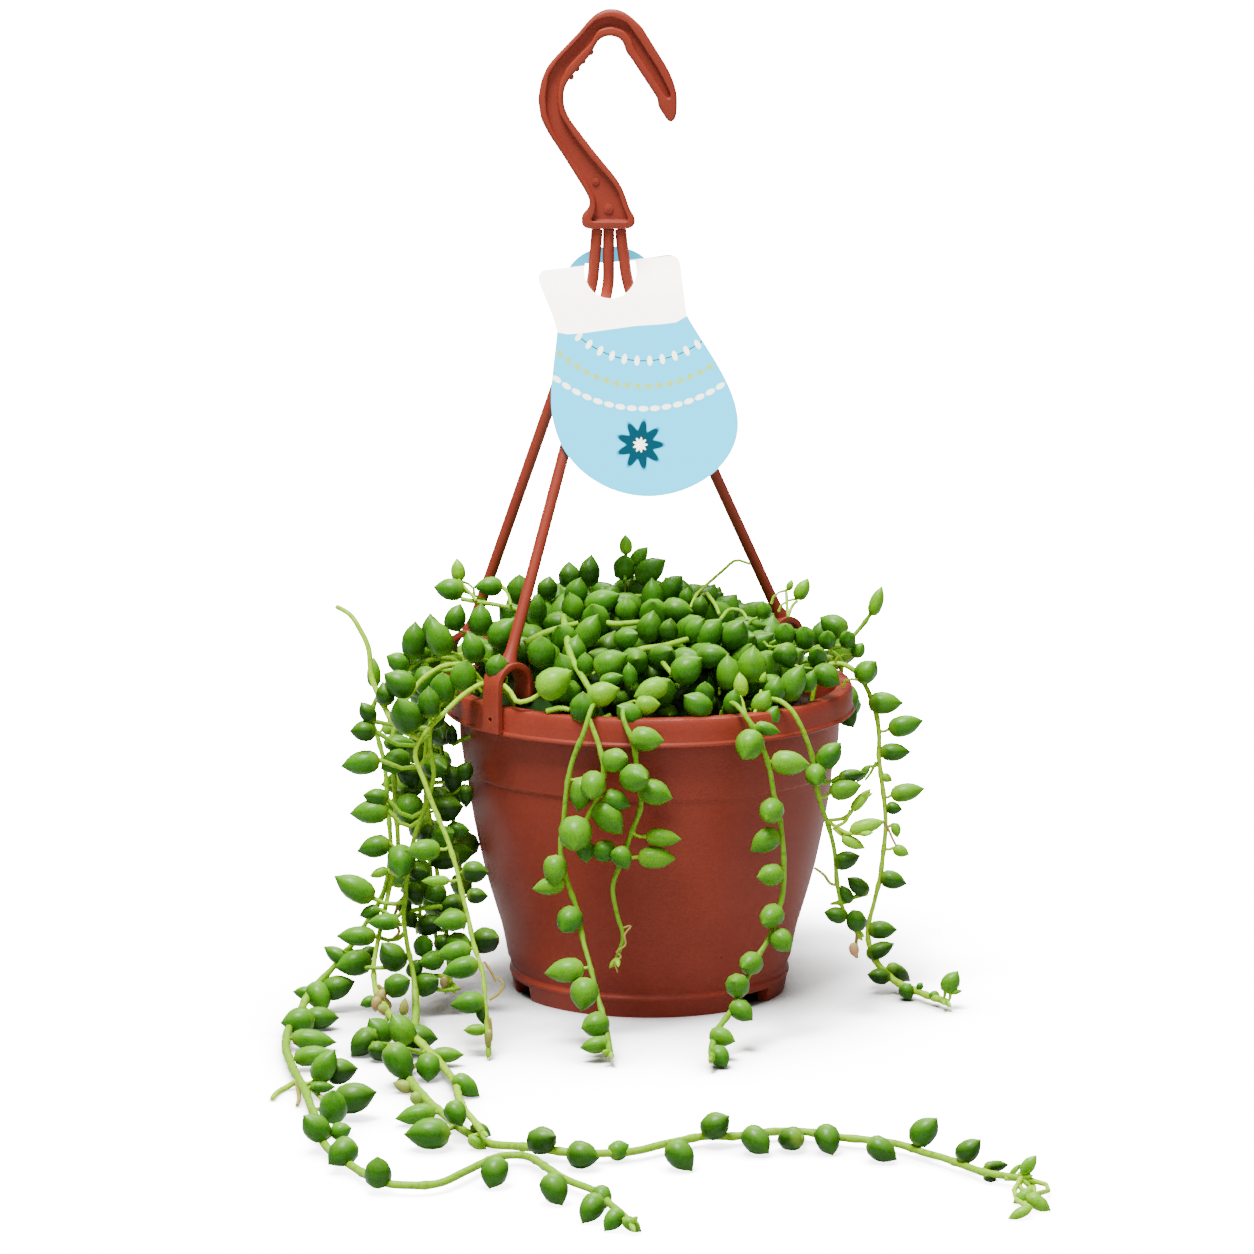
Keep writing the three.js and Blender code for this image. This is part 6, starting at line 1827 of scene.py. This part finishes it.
def moundHeading(x, y, draws):
    # leaves stand up at the top of the mound and lean out towards its rim
    away = np.array([x - mound["centre"][0], y - mound["centre"][1], 0]) / mound["radius"]
    jitter = np.array([next(draws) - 0.5, next(draws) - 0.5, next(draws) - 0.5])
    return unit(mound["away"] * away + np.array([0, 0, mound["rise"]]) + mound["jitter"] * jitter)


def drawMoundStalk(sketch, foot, heading, tint):
    # a stalk that bends down from the leaf into the mound
    low = foot - heading * mound["stalkDrop"]
    root = low + unit(np.array([*mound["centre"], mound["stalkAim"]]) - low) * mound["stalkLength"]
    drawStalk(sketch, root, foot, heading, unit(heading + np.array([0, 0, mound["stalkRise"]])), tint)


def growMound():
    draws = seededDraws(5)
    sketch = Sketch()
    filled = []
    for across, up, angle, width, length, toward, tint in moundLeaves:
        heading, level = seenHeading(angle, toward)
        long = min(length / level, 1.6 * width)
        centre = seenAt(across, up, moundDepth(across, up))
        foot = centre - heading * long * pearl["body"]
        sketch.leaf(foot, heading, width, long, tint, roll=fullTurn * next(draws))
        drawMoundStalk(sketch, foot, heading, mound["stalkTint"][0] + mound["stalkTint"][1] * tint)
        filled.append(centre)
        crowd.add(centre, width / 2, "crown")
    for points, thickness, tint in moundStems:
        sunk = mound["stemSunk"] if thickness > mound["thinStem"] else 0
        path = [seenAt(across, up, moundDepth(across, up) + sunk) for across, up in points]
        drawStem(sketch, path, [], tint, thickness / stemShape["thickness"])
        for place in smoothPath(path, 3):
            crowd.add(place, 1, "crown", True)
    golden = math.radians(137.508)  # the golden angle, which spreads the leaves evenly
    for count, inset, spacing, paintedDepthShade in mound["layers"]:
        for i in range(count):
            reach = (mound["radius"] - inset) * math.sqrt((i + 0.5) / count)
            x = mound["centre"][0] + reach * math.cos(i * golden) + mound["stray"] * (next(draws) - 0.5)
            y = mound["centre"][1] + reach * math.sin(i * golden) + mound["stray"] * (next(draws) - 0.5)
            width = mound["width"] * vary(draws, *mound["size"])
            long = width * vary(draws, *mound["slimness"])
            centre = np.array([x, y, moundTop(x, y, inset) + mound["lift"] * (next(draws) - 0.5)])
            heading = moundHeading(x, y, draws)
            # deeper leaves get painted shade
            shade = mound["tint"] + mound["tintSpread"] * (next(draws) - 0.5) - paintedDepthShade
            roll = fullTurn * next(draws)
            if filled and np.min(np.linalg.norm(np.array(filled) - centre, axis=1)) < spacing:
                continue
            if not crowd.hasRoom([(centre, width / 2)], "crown", mound["squeeze"], mound["air"]):
                continue
            foot = centre - heading * long * pearl["body"]
            sketch.leaf(foot, heading, width, long, shade, roll=roll)
            drawMoundStalk(sketch, foot, heading, mound["stalkTint"][0])
            filled.append(centre)
            crowd.add(centre, width / 2, "crown")
    growth = sketch.grow("crownGrowth")
    # painted shade: a near-black green dome under the leaves, seen only in the gaps between them
    core = turned("shadedCore", mound["core"], 48)
    for vertex in core.data.vertices:
        vertex.co.x += mound["centre"][0] * mm
        vertex.co.y += mound["centre"][1] * mm
    core.data.shade_smooth()
    core.data.materials.append(shadedGreen)
    joinInto(growth, [core])
    dress(growth, "crown")
    print("leaves on the mound:", len(filled))


growMound()
print("mound has grown")
